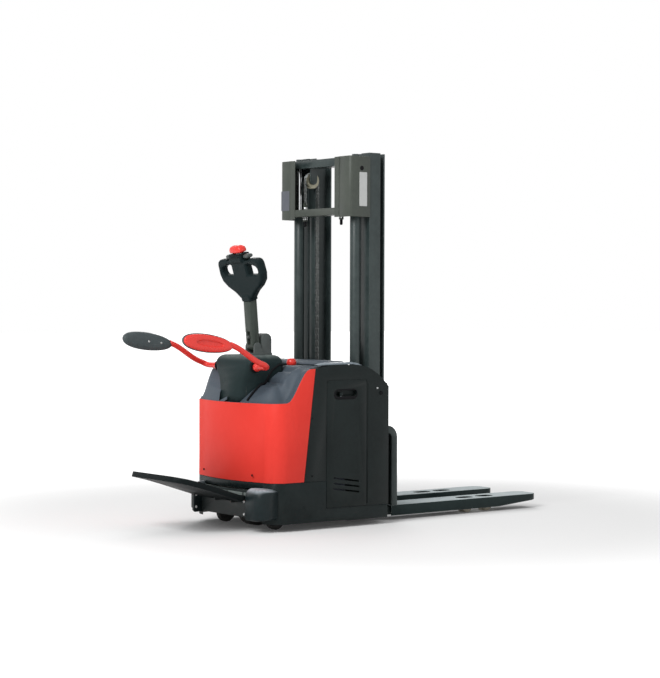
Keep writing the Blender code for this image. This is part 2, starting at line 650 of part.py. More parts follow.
# ---------------------------------------------------------------- body shells
def shells():
    seam_x_top, seam_x_low = back(SEAM_TOP_BACK), back(SEAM_BOTTOM_BACK)
    far = back(BODY_REAR + 0.1)
    rising = [(x, z) for x, z in deckLine() if x <= seam_x_top]
    cover_region = ([(far, SKIRT_TOP + SEAM), (far, COVER_TOP)] + [(x, z + 0.002) for x, z in rising[1:]]
                    + [(seam_x_top, DECK_TOP - 0.008), (seam_x_low, SKIRT_TOP + SEAM)])
    cover = shellWall(0, back(0.6), SKIRT_TOP + SEAM, 0.95, COVER_WALL)
    part("drive_cover", shape(cover, ("INTERSECT", sideRegion(cover_region))), RED, 0.3)

    skirt = shellWall(0.001, back(BODY_FRONT + 0.006), BODY_BOTTOM, SKIRT_TOP, COVER_WALL)
    rear_gate = box(far, back(0.80), -HINGE_HALF - 0.004, HINGE_HALF + 0.004, 0, 0.232)
    side_gates = [box(back(DOOR_REAR + SEAM + 0.001), back(BODY_FRONT - 0.01), side * (BODY_HALF - 0.02),
                      side * (BODY_HALF + 0.02), DOOR_BOTTOM - SEAM - 0.001, 0.4) for _, side in SIDES]
    part("lower_skirt", shape(skirt, *cut(rear_gate, *side_gates)), BLACK, 0.5)

    for name, side in SIDES:
        sidePanel(name, side)
    batteryLid()
    console()
    hood()


def sidePanel(name, side):
    """Side panel with its top flange and front return; the right one frames the service door."""
    front = back(BODY_FRONT)
    low = DOOR_BOTTOM - SEAM
    seam_low = (back(SEAM_BOTTOM_BACK - SEAM), SKIRT_TOP + SEAM)
    top = [(back(SEAM_TOP_BACK - SEAM), DECK_TOP - 0.008)] + shoulderLine()[1:]
    step = (back(DOOR_REAR), SKIRT_TOP + SEAM)
    region = [seam_low] + top + [(front, low), (back(DOOR_REAR), low), step]
    y_out, y_in = side * BODY_HALF, side * (BODY_HALF - PANEL_WALL)
    plate = outline(region, min(y_out, y_in), max(y_out, y_in), "XZ")
    flange_low = [(x, z - LID_THICK) for x, z in reversed(top)]
    flange_end = side * (BODY_HALF - SHOULDER)
    inner = side * (BODY_HALF - 0.001)
    flange = outline(top + flange_low, min(inner, flange_end), max(inner, flange_end), "XZ")
    ledge_top = [(x, z - LID_THICK - SEAT) for x, z in top if back(LID_REAR) <= x <= back(LID_FRONT)]
    ledge = outline(ledge_top + [(x, z - 0.005) for x, z in reversed(ledge_top)],
                    *sorted((flange_end - side * 0.015, flange_end + side * 0.001)), "XZ")
    hanger_top = [(x, z + 0.002) for x, z in ledge_top]
    hanger = outline(hanger_top + [(x, z - 0.005) for x, z in reversed(ledge_top)],
                     *sorted((flange_end, flange_end + side * 0.006)), "XZ")
    clear = outline(bodyTrim(), BODY_BOTTOM, 1.2, "XY")
    fold = box(front - 0.004, front, side * (BODY_HALF - 0.001), side * (BODY_HALF - 0.060), low, 0.760)
    steps = [*add(flange, hanger, ledge, fold), ("INTERSECT", clear)]
    if name == "right":
        gate = box(back(DOOR_REAR - 0.012), back(DOOR_FRONT - 0.012), y_out - 0.01, y_out + 0.02,
                   DOOR_BOTTOM + 0.012, DOOR_TOP - 0.012)
        rebate = box(back(DOOR_REAR + SEAM), back(DOOR_FRONT - SEAM), -BODY_HALF - 0.01,
                     -BODY_HALF + PANEL_WALL - 0.0018, 0, DOOR_TOP + SEAM)
        steps += cut(gate, rebate)
    part("side_panel_" + name, shape(plate, *steps), BLACK, 0.5)
    if name == "right":
        sideDoor()


def bodyTrim():
    """Plan region that keeps the panels inside the body's own plan."""
    return bodyPlan(0, back(BODY_FRONT))


def sideDoor():
    """Service door, hinged along its bottom edge, with a slot handle and three slanted vents."""
    rear, front = back(DOOR_REAR), back(DOOR_FRONT)
    middle = (rear + front) / 2
    outer, inner = -BODY_HALF, -BODY_HALF + 0.0019
    corner = 0.02
    edge = ([(rear, DOOR_BOTTOM), (front, DOOR_BOTTOM)]
            + arc(front - corner, DOOR_TOP - corner, corner, 0, 90, 4)
            + arc(rear + corner, DOOR_TOP - corner, corner, 90, 180, 4))
    grip_x = back(GRIP_BACK)
    grip = stadium(grip_x, GRIP_Z, 0.078, 0.019, 5)
    vents = []
    for i in range(3):
        z = 0.286 - 0.030 * i
        vents.append([(middle - 0.092, z), (middle + 0.088, z - 0.026), (middle + 0.092, z - 0.036),
                      (middle - 0.088, z - 0.010)])
    door = outline(edge, outer - 0.0006, inner - SEAT, "XZ", holes=[grip] + vents)
    cup = box(grip_x - 0.090, grip_x + 0.090, inner - 0.0012, inner + 0.030, GRIP_Z - 0.030, GRIP_Z + 0.030)
    cup_hollow = outline(grip, outer - 0.01, inner + 0.026, "XZ")
    latch = box(grip_x - 0.041, grip_x - 0.021, outer + 0.002, inner + 0.028, GRIP_Z - 0.014, GRIP_Z + 0.006,
                0.003)
    part("side_door", shape(door, *add(cup), *cut(cup_hollow), *add(latch)), BLACK, 0.45,
         0, (middle, outer, DOOR_BOTTOM))


def batteryLid():
    """Lid between the panels' shoulders, hinged along its front edge."""
    line = [(x, z) for x, z in shoulderLine() if back(LID_REAR - 0.001) <= x <= back(LID_FRONT)]
    rear_z = DECK_TOP + 0.010
    top = [(back(LID_REAR - SEAM), rear_z)] + line + [(back(LID_FRONT), DECK_TOP + 0.009)]
    edge = top + [(x, z - LID_THICK) for x, z in reversed(top)]
    half = BODY_HALF - SHOULDER - SEAM
    lid = outline(edge, -half, half, "XZ")
    pull = outline(stadium(back(LID_REAR - 0.035), 0, 0.012, 0.010, 4), 0.8, 1.0, "XY")
    part("battery_lid", shape(lid, *cut(pull)), BLACK, 0.45, 0, (back(LID_FRONT), 0, DECK_TOP + 0.003))


def console():
    """Moulded console inside the drive cover, open under the hood."""
    top = deckLine()
    edge = top + [(x, z - 0.005) for x, z in reversed(top)]
    deck = outline(edge, -BODY_HALF, BODY_HALF, "XZ")
    plan = outline(bodyPlan(COVER_WALL + 0.001, back(SEAM_TOP_BACK)), 0.5, 1.2, "XY")
    rest = box(back(SEAM_TOP_BACK) - 0.002, back(LID_REAR), -BODY_HALF + SHOULDER + SEAM,
               BODY_HALF - SHOULDER - SEAM, 0.5, 1.2)
    keep = shape(plan, *add(rest))
    well_half = HOOD_HALF - 0.015
    well = box(back(HOOD_REAR - 0.015), back(HOOD_FRONT + 0.03), -well_half, well_half, 0.5, 1.2)
    x = back(CONTROL_BACK)
    lock = cylinder((x, KEY_Y, DECK_TOP + 0.006), 0.018, 0.024, sides=20)
    lock_bore = cylinder((x, KEY_Y, DECK_TOP + 0.012), 0.0045, 0.040, sides=12)
    stop_seat = cylinder((x, STOP_Y, DECK_TOP), 0.0115, 0.08, sides=20)
    part("console", shape(deck, ("INTERSECT", keep), *cut(well), *add(lock), *cut(lock_bore, stop_seat)),
         CONSOLE, 0.55)
    key_z = DECK_TOP + 0.018
    bow = box(x - 0.0016, x + 0.0016, KEY_Y - 0.013, KEY_Y + 0.013, key_z + 0.004, key_z + 0.030, 0.001)
    stem = cylinder((x, KEY_Y, key_z - 0.004), 0.004, 0.020, sides=12)
    part("key", shape(stem, *add(bow)), STEEL, 0.3, 0.9, (x, KEY_Y, key_z))
    stop_z = DECK_TOP + 0.003
    collar = turned([(0.0105, stop_z + 0.012), (0.021, stop_z + 0.010), (0.023, stop_z), (0.0105, stop_z),
                     (0.0105, stop_z + 0.012)], (x, STOP_Y, 0), "Z", 24)
    part("stop_collar", collar, (0.6, 0.45, 0.03), 0.5)
    button = turned([(0, stop_z + 0.040), (0.014, stop_z + 0.038), (0.024, stop_z + 0.031),
                     (0.026, stop_z + 0.025), (0.0225, stop_z + 0.019), (0.0098, stop_z + 0.019), (0.0098, stop_z - 0.030),
                     (0, stop_z - 0.030)], (x, STOP_Y, 0), "Z", 28)
    part("stop_button", button, RED, 0.3, 0, (x, STOP_Y, stop_z))


def hood():
    """Hollow hood round the tiller's foot, standing on the console."""
    bpy.ops.mesh.primitive_cube_add(size=1)
    dome = take(bpy.context.object, "hood")
    rear, front = back(HOOD_REAR), back(HOOD_FRONT)
    work = bmesh.new()
    work.from_mesh(dome.data)
    for vert in work.verts:
        up = vert.co.z > 0
        half = HOOD_TOP_HALF if up else HOOD_HALF
        x_rear = rear + (0.020 if up else 0.0)
        x_front = front - (0.030 if up else 0.0)
        vert.co = (x_rear if vert.co.x < 0 else x_front, math.copysign(half, vert.co.y),
                   HOOD_TOP if up else COVER_TOP - 0.02)
    bottom = [face for face in work.faces if face.normal.z < -0.9]
    bmesh.ops.delete(work, geom=bottom, context="FACES_ONLY")
    work.to_mesh(dome.data)
    work.free()
    rounding = dome.modifiers.new("rounding", "BEVEL")
    rounding.width = 0.035
    rounding.segments = 3
    wall = dome.modifiers.new("wall", "SOLIDIFY")
    wall.thickness = 0.005
    wall.offset = -1
    under = deckLine(-SEAT)
    ground = [(back(BODY_REAR + 0.1), 0.4), (back(BODY_REAR + 0.1), COVER_TOP + 0.004 + SEAT)] + under
    ground += [(under[-1][0] + 0.1, under[-1][1]), (under[-1][0] + 0.1, 0.4)]
    column_hole = cylinder((back(STEER_BACK), 0, HOOD_TOP), 0.100, 0.06, sides=32)
    arm_holes = cylinder((back(ARM_BACK), 0, ARM_Z), ARM_R + 0.004, 0.6, "Y", 24)
    part("tiller_hood", shape(dome, *cut(sideRegion(ground), column_hole, arm_holes)), DARK, 0.5)


# ---------------------------------------------------------------- side arms
def sideArms():
    for name, side in SIDES:
        pivot = (back(ARM_BACK), side * ARM_Y, ARM_Z)
        inner_y = ARM_LUG_Y - 0.006
        bend = 0.030
        lean = math.atan2(ARM_TOP_Z - ARM_Z, PAD_FRONT - ARM_BACK)
        run = math.hypot(PAD_FRONT - ARM_BACK, ARM_TOP_Z - ARM_Z) + ARM_GRIP
        route = [(back(ARM_BACK), side * inner_y, ARM_Z), (back(ARM_BACK), side * (ARM_Y - bend), ARM_Z)]
        for i in range(1, 6):
            a = math.radians(90 * i / 5)
            along = bend * (1 - math.cos(a))
            route.append((back(ARM_BACK) - along * math.cos(lean), side * (ARM_Y - bend + bend * math.sin(a)),
                          ARM_Z + along * math.sin(lean)))
        end_x = back(ARM_BACK) - run * math.cos(lean)
        route.append((end_x, side * ARM_Y, ARM_Z + run * math.sin(lean)))
        part("side_arm_" + name, pipe(route, ARM_R, 2), RED, 0.3, 0, pivot)
        rise = 0.020
        steps = 20
        edge = []
        long_half = (PAD_REAR - PAD_FRONT) / 2
        centre_x = back((PAD_REAR + PAD_FRONT) / 2)
        centre_z = ARM_TOP_Z + rise / 2
        for i in range(steps):
            a = 2 * math.pi * i / steps
            u = math.copysign(abs(math.cos(a)) ** 0.75, math.cos(a)) * long_half
            v = math.copysign(abs(math.sin(a)) ** 0.85, math.sin(a)) * PAD_HEIGHT / 2
            edge.append((centre_x + u, centre_z + v - u / long_half * rise / 2))
        pad = outline(edge, side * ARM_Y - PAD_THICK / 2, side * ARM_Y + PAD_THICK / 2, "XZ", bevel=0.008)
        deeper = (end_x - SEAT * math.cos(lean), side * ARM_Y, route[-1][2] + SEAT * math.sin(lean))
        socket = pipe(route[:-1] + [deeper], ARM_R + SEAT, 2)
        part("arm_pad_" + name, shape(pad, *cut(socket)), BLACK, 0.6, 0, pivot)


# ---------------------------------------------------------------- steering, drive and tiller
def drive():
    x = back(STEER_BACK)
    centre = (x, 0, WHEEL_R)
    half = WHEEL_WIDTH / 2
    ring = turned([(0, FRAME_DECK + 0.026), (TURNTABLE_R + 0.020, FRAME_DECK + 0.026),
                   (TURNTABLE_R + 0.020, FRAME_DECK + SEAT), (TURNTABLE_R, FRAME_DECK + SEAT),
                   (TURNTABLE_R, 0.256), (0, 0.256)], (x, 0, 0), "Z", 32)
    case = outline([(x - 0.045, 0.262), *arc(x, WHEEL_R, 0.045, 180, 360, 8), (x + 0.045, 0.262)],
                   half + 0.006, half + 0.056, "XZ")
    axle = cylinder((x, half + 0.006 - WHEEL_WIDTH / 2, WHEEL_R), WHEEL_AXLE_R, WHEEL_WIDTH + 0.010, "Y", 20)
    part("drive_gearbox", shape(ring, *add(case, axle)), (0.2, 0.21, 0.22), 0.5, 0.6, (x, 0, 0))
    wheel = turned(ringProfile(WHEEL_AXLE_R + RUN, WHEEL_R, half, 0.006), centre, "Y", 32)
    part("drive_wheel", wheel, (0.12, 0.07, 0.05), 0.6, 0, centre)
    motor_low = FRAME_DECK + 0.026 + SEAT
    motor = turned([(0, MOTOR_TOP), (MOTOR_R - 0.01, MOTOR_TOP), (MOTOR_R, MOTOR_TOP - 0.01),
                    (MOTOR_R, motor_low + 0.012), (MOTOR_R + 0.01, motor_low + 0.012),
                    (MOTOR_R + 0.01, motor_low), (0, motor_low)], (x, 0, 0), "Z", 28)
    part("drive_motor", motor, DARK, 0.5, 0.4, (x, 0, 0))
    strap_y = MOTOR_R + 0.014
    straps = [box(x - 0.03, x + 0.03, side * strap_y, side * (strap_y + 0.010), motor_low, MOTOR_TOP + 0.030)
              for _, side in SIDES]
    bridge = box(x - 0.03, x + 0.03, -strap_y - 0.010, strap_y + 0.010, MOTOR_TOP + 0.020, MOTOR_TOP + 0.034)
    post = cylinder((x, 0, (MOTOR_TOP + 0.95) / 2 + 0.010), 0.030, 0.95 - MOTOR_TOP - 0.02)
    tilt_x = back(TILT_BACK)
    foot = box(back(0.878), back(0.722), -0.052, 0.052, 0.940, 0.974, 0.004)
    cap = outline([(back(0.786), 0.960), (back(0.786), 1.050), *arc(back(0.751), 1.050, 0.035, 180, 0, 6),
                   (back(0.716), 0.960)], -0.036, 0.036, "XZ", bevel=0.005)
    cheeks = []
    for _, side in SIDES:
        inner = TILLER_WIDE / 2 + 0.001
        low, high = sorted((side * inner, side * (inner + 0.012)))
        cheeks.append(outline([(tilt_x - 0.022, 0.960), (tilt_x - 0.022, TILT_Z),
                               *arc(tilt_x, TILT_Z, 0.022, 180, 0, 6), (back(0.780), 0.960)],
                              low, high, "XZ"))
    pin = cylinder((tilt_x, 0, TILT_Z), TILT_PIN_R, TILLER_WIDE + 0.020, "Y", 20)
    column = shape(bridge, *add(*straps, post, foot, cap, *cheeks, pin))
    part("steering_column", column, DARK, 0.5, 0.3, (x, 0, 0))


def tillerFrame():
    """Places head pieces: local x across the head's thickness, y across the machine, z up the head."""
    base = Vector((back(TILT_BACK) - (HEAD_BASE_Z - TILT_Z) * math.tan(TILLER_LEAN), 0, HEAD_BASE_Z))
    return Matrix.Translation(base) @ Matrix.Rotation(-HEAD_LEAN, 4, "Y")


def placed(obj, matrix):
    """Bake an object's own placing, then the given one, into its mesh."""
    obj.data.transform(matrix @ obj.matrix_basis)
    obj.matrix_basis = Matrix.Identity(4)
    return obj


def tiller():
    tilt = Vector((back(TILT_BACK), 0, TILT_Z))
    lean = Matrix.Translation(tilt) @ Matrix.Rotation(-TILLER_LEAN, 4, "Y")
    deep = TILLER_DEEP / 2
    top = (HEAD_BASE_Z - TILT_Z) / math.cos(TILLER_LEAN) - 0.001
    side_view = [(-deep, top), (-deep, 0), *arc(0, 0, deep, 180, 360, 8), (deep, 0), (deep, top)]
    stalk = outline(side_view, -TILLER_WIDE / 2, TILLER_WIDE / 2, "XZ", bevel=0.006)
    bore = cylinder((0, 0, 0), TILT_PIN_R + RUN, 0.2, "Y", 20)
    slot = box(-deep - 0.01, -deep + 0.014, -0.014, 0.014, 0.010, 0.085)
    for piece in (stalk, bore, slot):
        placed(piece, lean)
    frame = tillerFrame()
    head_seat = placed(box(-0.1, 0.1, -0.1, 0.1, COLLAR_BOTTOM - SEAT, 0.1), frame)
    part("tiller_arm", shape(stalk, *cut(bore, slot, head_seat)), DARK, 0.5, 0.2, tuple(tilt))

    right = [(0.040, 0.0), (0.092, 0.044), (0.152, 0.078), (0.190, 0.112), (0.204, 0.152), (0.202, 0.196)]
    right += arc(0.166, 0.204, 0.036, 0, 90, 4)
    edge = right + [(-y, z) for y, z in reversed(right)]
    holes = []
    for side in (1, -1):
        hole = [(0.072, 0.148)] + arc(0.148, 0.172, 0.024, -90, 60, 4) + [(0.100, 0.212), (0.072, 0.204)]
        holes.append([(side * y, z) for y, z in hole])
    shield = outline(edge, -HEAD_THICK / 2, HEAD_THICK / 2, "YZ", bevel=0.012, holes=holes)
    collar = box(-0.030, 0.030, -0.040, 0.040, COLLAR_BOTTOM, 0.030, 0.006)
    pod = box(-0.036, 0.036, -0.060, 0.060, 0.220, POD_TOP, 0.010)
    throttle_z = POD_TOP - 0.018
    throttle_way = cylinder((0, 0, throttle_z), 0.0075 + RUN, 0.3, "Y", 16)
    button_way = box(-0.017, 0.017, -0.039, 0.039, POD_TOP - 0.0085, POD_TOP + 0.03)
    rocker_way = box(0.0065, 0.05, -0.030, 0.030, 0.111, 0.137)
    horn_way = cylinder((0.022, 0, 0.170), 0.013, 0.03, "X", 20)
    sweeps = [box(-0.05, 0.05, side * 0.0605, side * 0.108, 0.2315, 0.3) for _, side in SIDES]
    ways = [throttle_way, button_way, rocker_way, horn_way] + sweeps
    for piece in [shield, collar, pod] + ways:
        placed(piece, frame)
    head = shape(shield, *add(collar, pod), *cut(*ways))
    part("tiller_head", head, DARK, 0.55, 0, tuple(tilt))

    shaft = cylinder((0, 0, throttle_z), 0.0075, 0.180, "Y", 16)
    wings = []
    for _, side in SIDES:
        wings.append(box(-0.024, 0.024, side * 0.064, side * 0.104, throttle_z - 0.012, throttle_z + 0.012,
                         0.008))
    for piece in [shaft] + wings:
        placed(piece, frame)
    place = frame @ Vector((0, 0, throttle_z))
    part("throttle_wings", shape(shaft, *add(*wings)), BLACK, 0.5, 0, tuple(place))

    cap = box(-0.028, 0.028, -0.052, 0.052, POD_TOP + 0.0075, POD_TOP + 0.030, 0.008)
    stem = box(-0.0165, 0.0165, -0.0385, 0.0385, POD_TOP - 0.0035, POD_TOP + 0.010)
    for piece in (cap, stem):
        placed(piece, frame)
    part("reverse_button", shape(cap, *add(stem)), RED, 0.3, 0, tuple(frame @ Vector((0, 0, POD_TOP))))

    rocker = placed(box(0.0115, 0.031, -0.0285, 0.0285, 0.1115, 0.1365, 0.003), frame)
    part("lift_rocker", rocker, (0.25, 0.26, 0.27), 0.5, 0, tuple(frame @ Vector((0.020, 0, 0.124))))
    horn = placed(cylinder((0.0205, 0, 0.170), 0.0122, 0.019, "X", 20), frame)
    part("horn_button", horn, (0.7, 0.55, 0.05), 0.4, 0, tuple(frame @ Vector((0.02, 0, 0.170))))


# ---------------------------------------------------------------- casters
def casters():
    for name, side in SIDES:
        x, y = back(CASTER_BACK), side * CASTER_Y
        wheel_x = x - CASTER_TRAIL
        swivel = (x, y, 0.150)
        top = box(x - 0.036, x + 0.030, y - 0.030, y + 0.030, 0.132, 0.1495)
        stem = cylinder((x, y, 0.155), 0.012, 0.040, sides=16)
        inner = CASTER_WIDTH / 2 + 0.003
        cheeks = []
        for cheek in (1, -1):
            low, high = sorted((y + cheek * inner, y + cheek * (inner + 0.006)))
            cheeks.append(outline([(x - 0.034, 0.136), (wheel_x - 0.014, CASTER_R),
                                   *arc(wheel_x, CASTER_R, 0.014, 180, 360, 6), (x + 0.026, 0.136)],
                                  low, high, "XZ"))
        axle = cylinder((wheel_x, y, CASTER_R), 0.006, CASTER_WIDTH + 0.014, "Y", 16)
        part("caster_fork_" + name, shape(top, *add(stem, *cheeks, axle)), STEEL, 0.35, 0.8, swivel)
        centre = (wheel_x, y, CASTER_R)
        wheel = turned(ringProfile(0.006 + RUN, CASTER_R, CASTER_WIDTH / 2, 0.004), centre, "Y", 20)
        part("caster_wheel_" + name, wheel, (0.25, 0.25, 0.25), 0.6, 0, centre)


# ---------------------------------------------------------------- operator platform
def platform():
    x, z = back(HINGE_BACK), HINGE_Z
    wall = 0.014
    front = back(0.94)
    beam = box(x + 0.024, back(TAIL_BACK) - SEAT, -HINGE_HALF + 0.001, HINGE_HALF - 0.001, 0.072, 0.222)
    cheeks = []
    for _, side in SIDES:
        low, high = sorted((side * (HINGE_HALF - wall), side * HINGE_HALF))
        cheeks.append(outline([(x - 0.022, 0.090), (x - 0.022, z), *arc(x, z, 0.022, 180, 135, 2),
                               (x + 0.026, 0.222), (front, 0.222), (front, 0.076), (x, 0.076)], low, high, "XZ"))
    pin = cylinder((x, 0, z), HINGE_PIN_R, 2 * HINGE_HALF - 0.010, "Y", 20)
    ribs = [box(x - 0.006, x + 0.030, y - 0.006, y + 0.006, z - 0.030, z + 0.020) for y in (-0.080, 0.080)]
    part("platform_bracket", shape(beam, *add(*cheeks, pin, *ribs)), DARK, 0.5, 0.2)

    side_view = []
    reach = PLATFORM_REACH
    for t in (0.0, 0.25, 0.5, 0.7, 0.85, 1.0):
        side_view.append((-0.036 - (reach - 0.036) * t, PLATFORM_RISE - 0.050 * max(0, t - 0.5) ** 2))
    under = [(u, v - PLATFORM_THICK) for u, v in reversed(side_view)]
    deck = outline(side_view + under, -PLATFORM_HALF, PLATFORM_HALF, "XZ")
    corner = 0.075
    plan = ([(0.05, -PLATFORM_HALF)] + [(0.05, PLATFORM_HALF)]
            + arc(-reach + corner, PLATFORM_HALF - corner, corner, 90, 180, 5)
            + arc(-reach + corner, -PLATFORM_HALF + corner, corner, 180, 270, 5))
    trim = outline(plan, -0.2, 0.2, "XY")
    knuckles = []
    for low, high in ((-0.226, -0.092), (-0.068, 0.068), (0.092, 0.226)):
        knuckles.append(outline([(-0.050, -0.016), *arc(0, 0, 0.020, -110, 90, 8), (-0.050, 0.008)],
                                low, high, "XZ"))
    bore = cylinder((0, 0, 0), HINGE_PIN_R + RUN, 0.6, "Y", 20)
    tilt = Matrix.Translation((x, 0, z)) @ Matrix.Rotation(PLATFORM_TILT, 4, "Y")
    for piece in [deck, trim, bore] + knuckles:
        placed(piece, tilt)
    part("platform", shape(deck, ("INTERSECT", trim), *add(*knuckles), *cut(bore)), BLACK, 0.6, 0.2, (x, 0, z))


# ---------------------------------------------------------------- inside the body
def internals():
    floor = 0.066 + SEAT
    cells = box(back(0.615), back(0.408), -0.325, 0.325, floor, floor + 0.60, 0.008)
    part("battery", cells, (0.10, 0.12, 0.16), 0.6)
    deck = FRAME_DECK + SEAT
    tank = box(back(0.90), back(0.66), 0.180, 0.330, deck, deck + 0.200, 0.006)
    pump = cylinder((back(0.78), 0.255, deck + 0.260), 0.055, 0.130)
    part("hydraulic_unit", shape(tank, *add(pump)), (0.12, 0.13, 0.14), 0.5, 0.5)
    box_part = box(back(0.90), back(0.66), -0.330, -0.200, deck, deck + 0.140, 0.004)
    fins = [box(back(0.89), back(0.67), -0.320 + 0.022 * i, -0.312 + 0.022 * i, deck + 0.136, deck + 0.160)
            for i in range(5)]
    part("motor_controller", shape(box_part, *add(*fins)), (0.5, 0.5, 0.5), 0.4, 0.8)


chassisFrame()
outerMast()
innerMast()
carriage()
shells()
sideArms()
drive()
tiller()
casters()
platform()
internals()
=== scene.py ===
import math

import bmesh
import bpy
from mathutils import Matrix, Vector


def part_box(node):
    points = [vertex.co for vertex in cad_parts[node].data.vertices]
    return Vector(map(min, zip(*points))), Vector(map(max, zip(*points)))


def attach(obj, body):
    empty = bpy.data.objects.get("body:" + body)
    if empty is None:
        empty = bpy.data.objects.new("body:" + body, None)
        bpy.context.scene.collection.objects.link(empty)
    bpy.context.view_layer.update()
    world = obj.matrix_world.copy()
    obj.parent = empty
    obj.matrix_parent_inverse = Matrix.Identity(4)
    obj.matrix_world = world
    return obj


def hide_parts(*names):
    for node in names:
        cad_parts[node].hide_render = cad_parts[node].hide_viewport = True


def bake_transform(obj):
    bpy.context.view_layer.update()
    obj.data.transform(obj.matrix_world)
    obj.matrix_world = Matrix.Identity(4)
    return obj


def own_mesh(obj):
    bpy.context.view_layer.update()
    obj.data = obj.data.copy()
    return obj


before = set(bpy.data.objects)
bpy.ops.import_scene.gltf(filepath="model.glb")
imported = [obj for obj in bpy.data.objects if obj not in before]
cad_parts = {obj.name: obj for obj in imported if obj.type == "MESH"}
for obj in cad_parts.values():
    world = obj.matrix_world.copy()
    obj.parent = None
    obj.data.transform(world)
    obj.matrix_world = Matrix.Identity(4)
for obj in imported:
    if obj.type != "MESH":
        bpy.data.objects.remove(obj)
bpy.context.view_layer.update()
print("frame loaded")

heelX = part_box("fork_frame")[1].x  # front face of the fork heel


def back(distance):
    # world X of a station this far behind the fork heel
    return heelX - distance


def angles(count):
    return [2 * math.pi * k / count for k in range(count)]


def quarter(steps, start=0):
    # angles of a quarter turn, both ends included
    return [math.radians(start + 90 * k / steps) for k in range(steps + 1)]


def bulge(value, power):
    # power of a signed number: below 1 it squares a circle's corners
    return math.copysign(abs(value) ** power, value)


# shader node groups; each dictionary holds what every finish shares
def newGroup(name, inputs, outputs):
    group = bpy.data.node_groups.new(name, "ShaderNodeTree")
    for label, value in inputs:
        kind = "NodeSocketVector" if value is None else "NodeSocketFloat"
        socket = group.interface.new_socket(name=label, in_out="INPUT", socket_type=kind)
        if value is not None:
            socket.default_value = value
    for label in outputs:
        group.interface.new_socket(name=label, in_out="OUTPUT", socket_type="NodeSocketFloat")
    return group, group.nodes.new("NodeGroupInput"), group.nodes.new("NodeGroupOutput")


def mathNode(tree, operation, a, b=None, clamp=False):
    node = tree.nodes.new("ShaderNodeMath")
    node.operation = operation
    node.use_clamp = clamp
    for socket, value in zip(node.inputs, (a, b)):
        if isinstance(value, bpy.types.NodeSocket):
            tree.links.new(value, socket)
        elif value is not None:
            socket.default_value = value
    return node.outputs[0]


def rangeNode(tree, value, low, high, toLow=0.0, toHigh=1.0):
    node = tree.nodes.new("ShaderNodeMapRange")
    node.interpolation_type = "SMOOTHSTEP"
    tree.links.new(value, node.inputs["Value"])
    for label, setting in (("From Min", low), ("From Max", high), ("To Min", toLow), ("To Max", toHigh)):
        if isinstance(setting, bpy.types.NodeSocket):
            tree.links.new(setting, node.inputs[label])
        else:
            node.inputs[label].default_value = setting
    return node.outputs["Result"]


def noiseNode(tree, vector, scale, detail=3.0, rough=0.55):
    node = tree.nodes.new("ShaderNodeTexNoise")
    node.inputs["Detail"].default_value = detail
    node.inputs["Roughness"].default_value = rough
    tree.links.new(vector, node.inputs["Vector"])
    if isinstance(scale, bpy.types.NodeSocket):
        tree.links.new(scale, node.inputs["Scale"])
    else:
        node.inputs["Scale"].default_value = scale
    return node.outputs[0]


def stretched(tree, vector, scale):
    node = tree.nodes.new("ShaderNodeMapping")
    node.inputs["Scale"].default_value = scale
    tree.links.new(vector, node.inputs["Vector"])
    return node.outputs["Vector"]


wearLook = dict(samples=4, bendFrom=0.02, bendTo=0.16, patchScale=38.0, patchDetail=6.0, patchRough=0.7,
                soft=0.12)


def makeEdgeWear():
    # bare edges: where the rounded normal leaves the flat one, broken up by noise
    look = wearLook
    group, start, end = newGroup("edgeWear", [("Coordinate", None), ("Radius", 0.003), ("Amount", 0.5)],
                                 ["Mask"])
    bevel = group.nodes.new("ShaderNodeBevel")
    bevel.samples = look["samples"]
    group.links.new(start.outputs["Radius"], bevel.inputs["Radius"])
    geometry = group.nodes.new("ShaderNodeNewGeometry")
    dot = group.nodes.new("ShaderNodeVectorMath")
    dot.operation = "DOT_PRODUCT"
    group.links.new(bevel.outputs["Normal"], dot.inputs[0])
    group.links.new(geometry.outputs["Normal"], dot.inputs[1])
    bend = mathNode(group, "SUBTRACT", 1.0, dot.outputs["Value"])
    edge = rangeNode(group, bend, look["bendFrom"], look["bendTo"])
    patches = noiseNode(group, start.outputs["Coordinate"], look["patchScale"], look["patchDetail"],
                        look["patchRough"])
    limit = mathNode(group, "SUBTRACT", 1.0, start.outputs["Amount"])
    broken = rangeNode(group, patches, limit, mathNode(group, "ADD", limit, look["soft"]))
    group.links.new(mathNode(group, "MULTIPLY", edge, broken), end.inputs["Mask"])
    return group


grainLook = dict(fineDetail=2.0, pits=0.6, broadScale=5.0, broadDetail=5.0, broadRough=0.6, broadShare=0.7,
                 middleScale=42.0, middleShare=0.3, mottleFrom=0.3, mottleTo=0.7)


def makeGrain():
    # fine surface texture and the slow change of shade across a large face
    look = grainLook
    group, start, end = newGroup("grain", [("Coordinate", None), ("Scale", 600.0)], ["Height", "Mottle"])
    vector = start.outputs["Coordinate"]
    fine = noiseNode(group, vector, start.outputs["Scale"], look["fineDetail"])
    pits = group.nodes.new("ShaderNodeTexVoronoi")
    group.links.new(vector, pits.inputs["Vector"])
    group.links.new(start.outputs["Scale"], pits.inputs["Scale"])
    height = mathNode(group, "ADD", fine, mathNode(group, "MULTIPLY", pits.outputs["Distance"], look["pits"]))
    broad = noiseNode(group, vector, look["broadScale"], look["broadDetail"], look["broadRough"])
    middle = noiseNode(group, vector, look["middleScale"])
    mottle = mathNode(group, "ADD", mathNode(group, "MULTIPLY", broad, look["broadShare"]),
                      mathNode(group, "MULTIPLY", middle, look["middleShare"]))
    group.links.new(height, end.inputs["Height"])
    group.links.new(rangeNode(group, mottle, look["mottleFrom"], look["mottleTo"]), end.inputs["Mottle"])
    return group


dustAndTopLightLook = dict(upFrom=0.35, upTo=1.0, lowFrom=0.40, lowTo=0.02, patchScale=24.0, patchDetail=6.0,
                patchRough=0.65, patchFrom=0.30, patchTo=0.72)


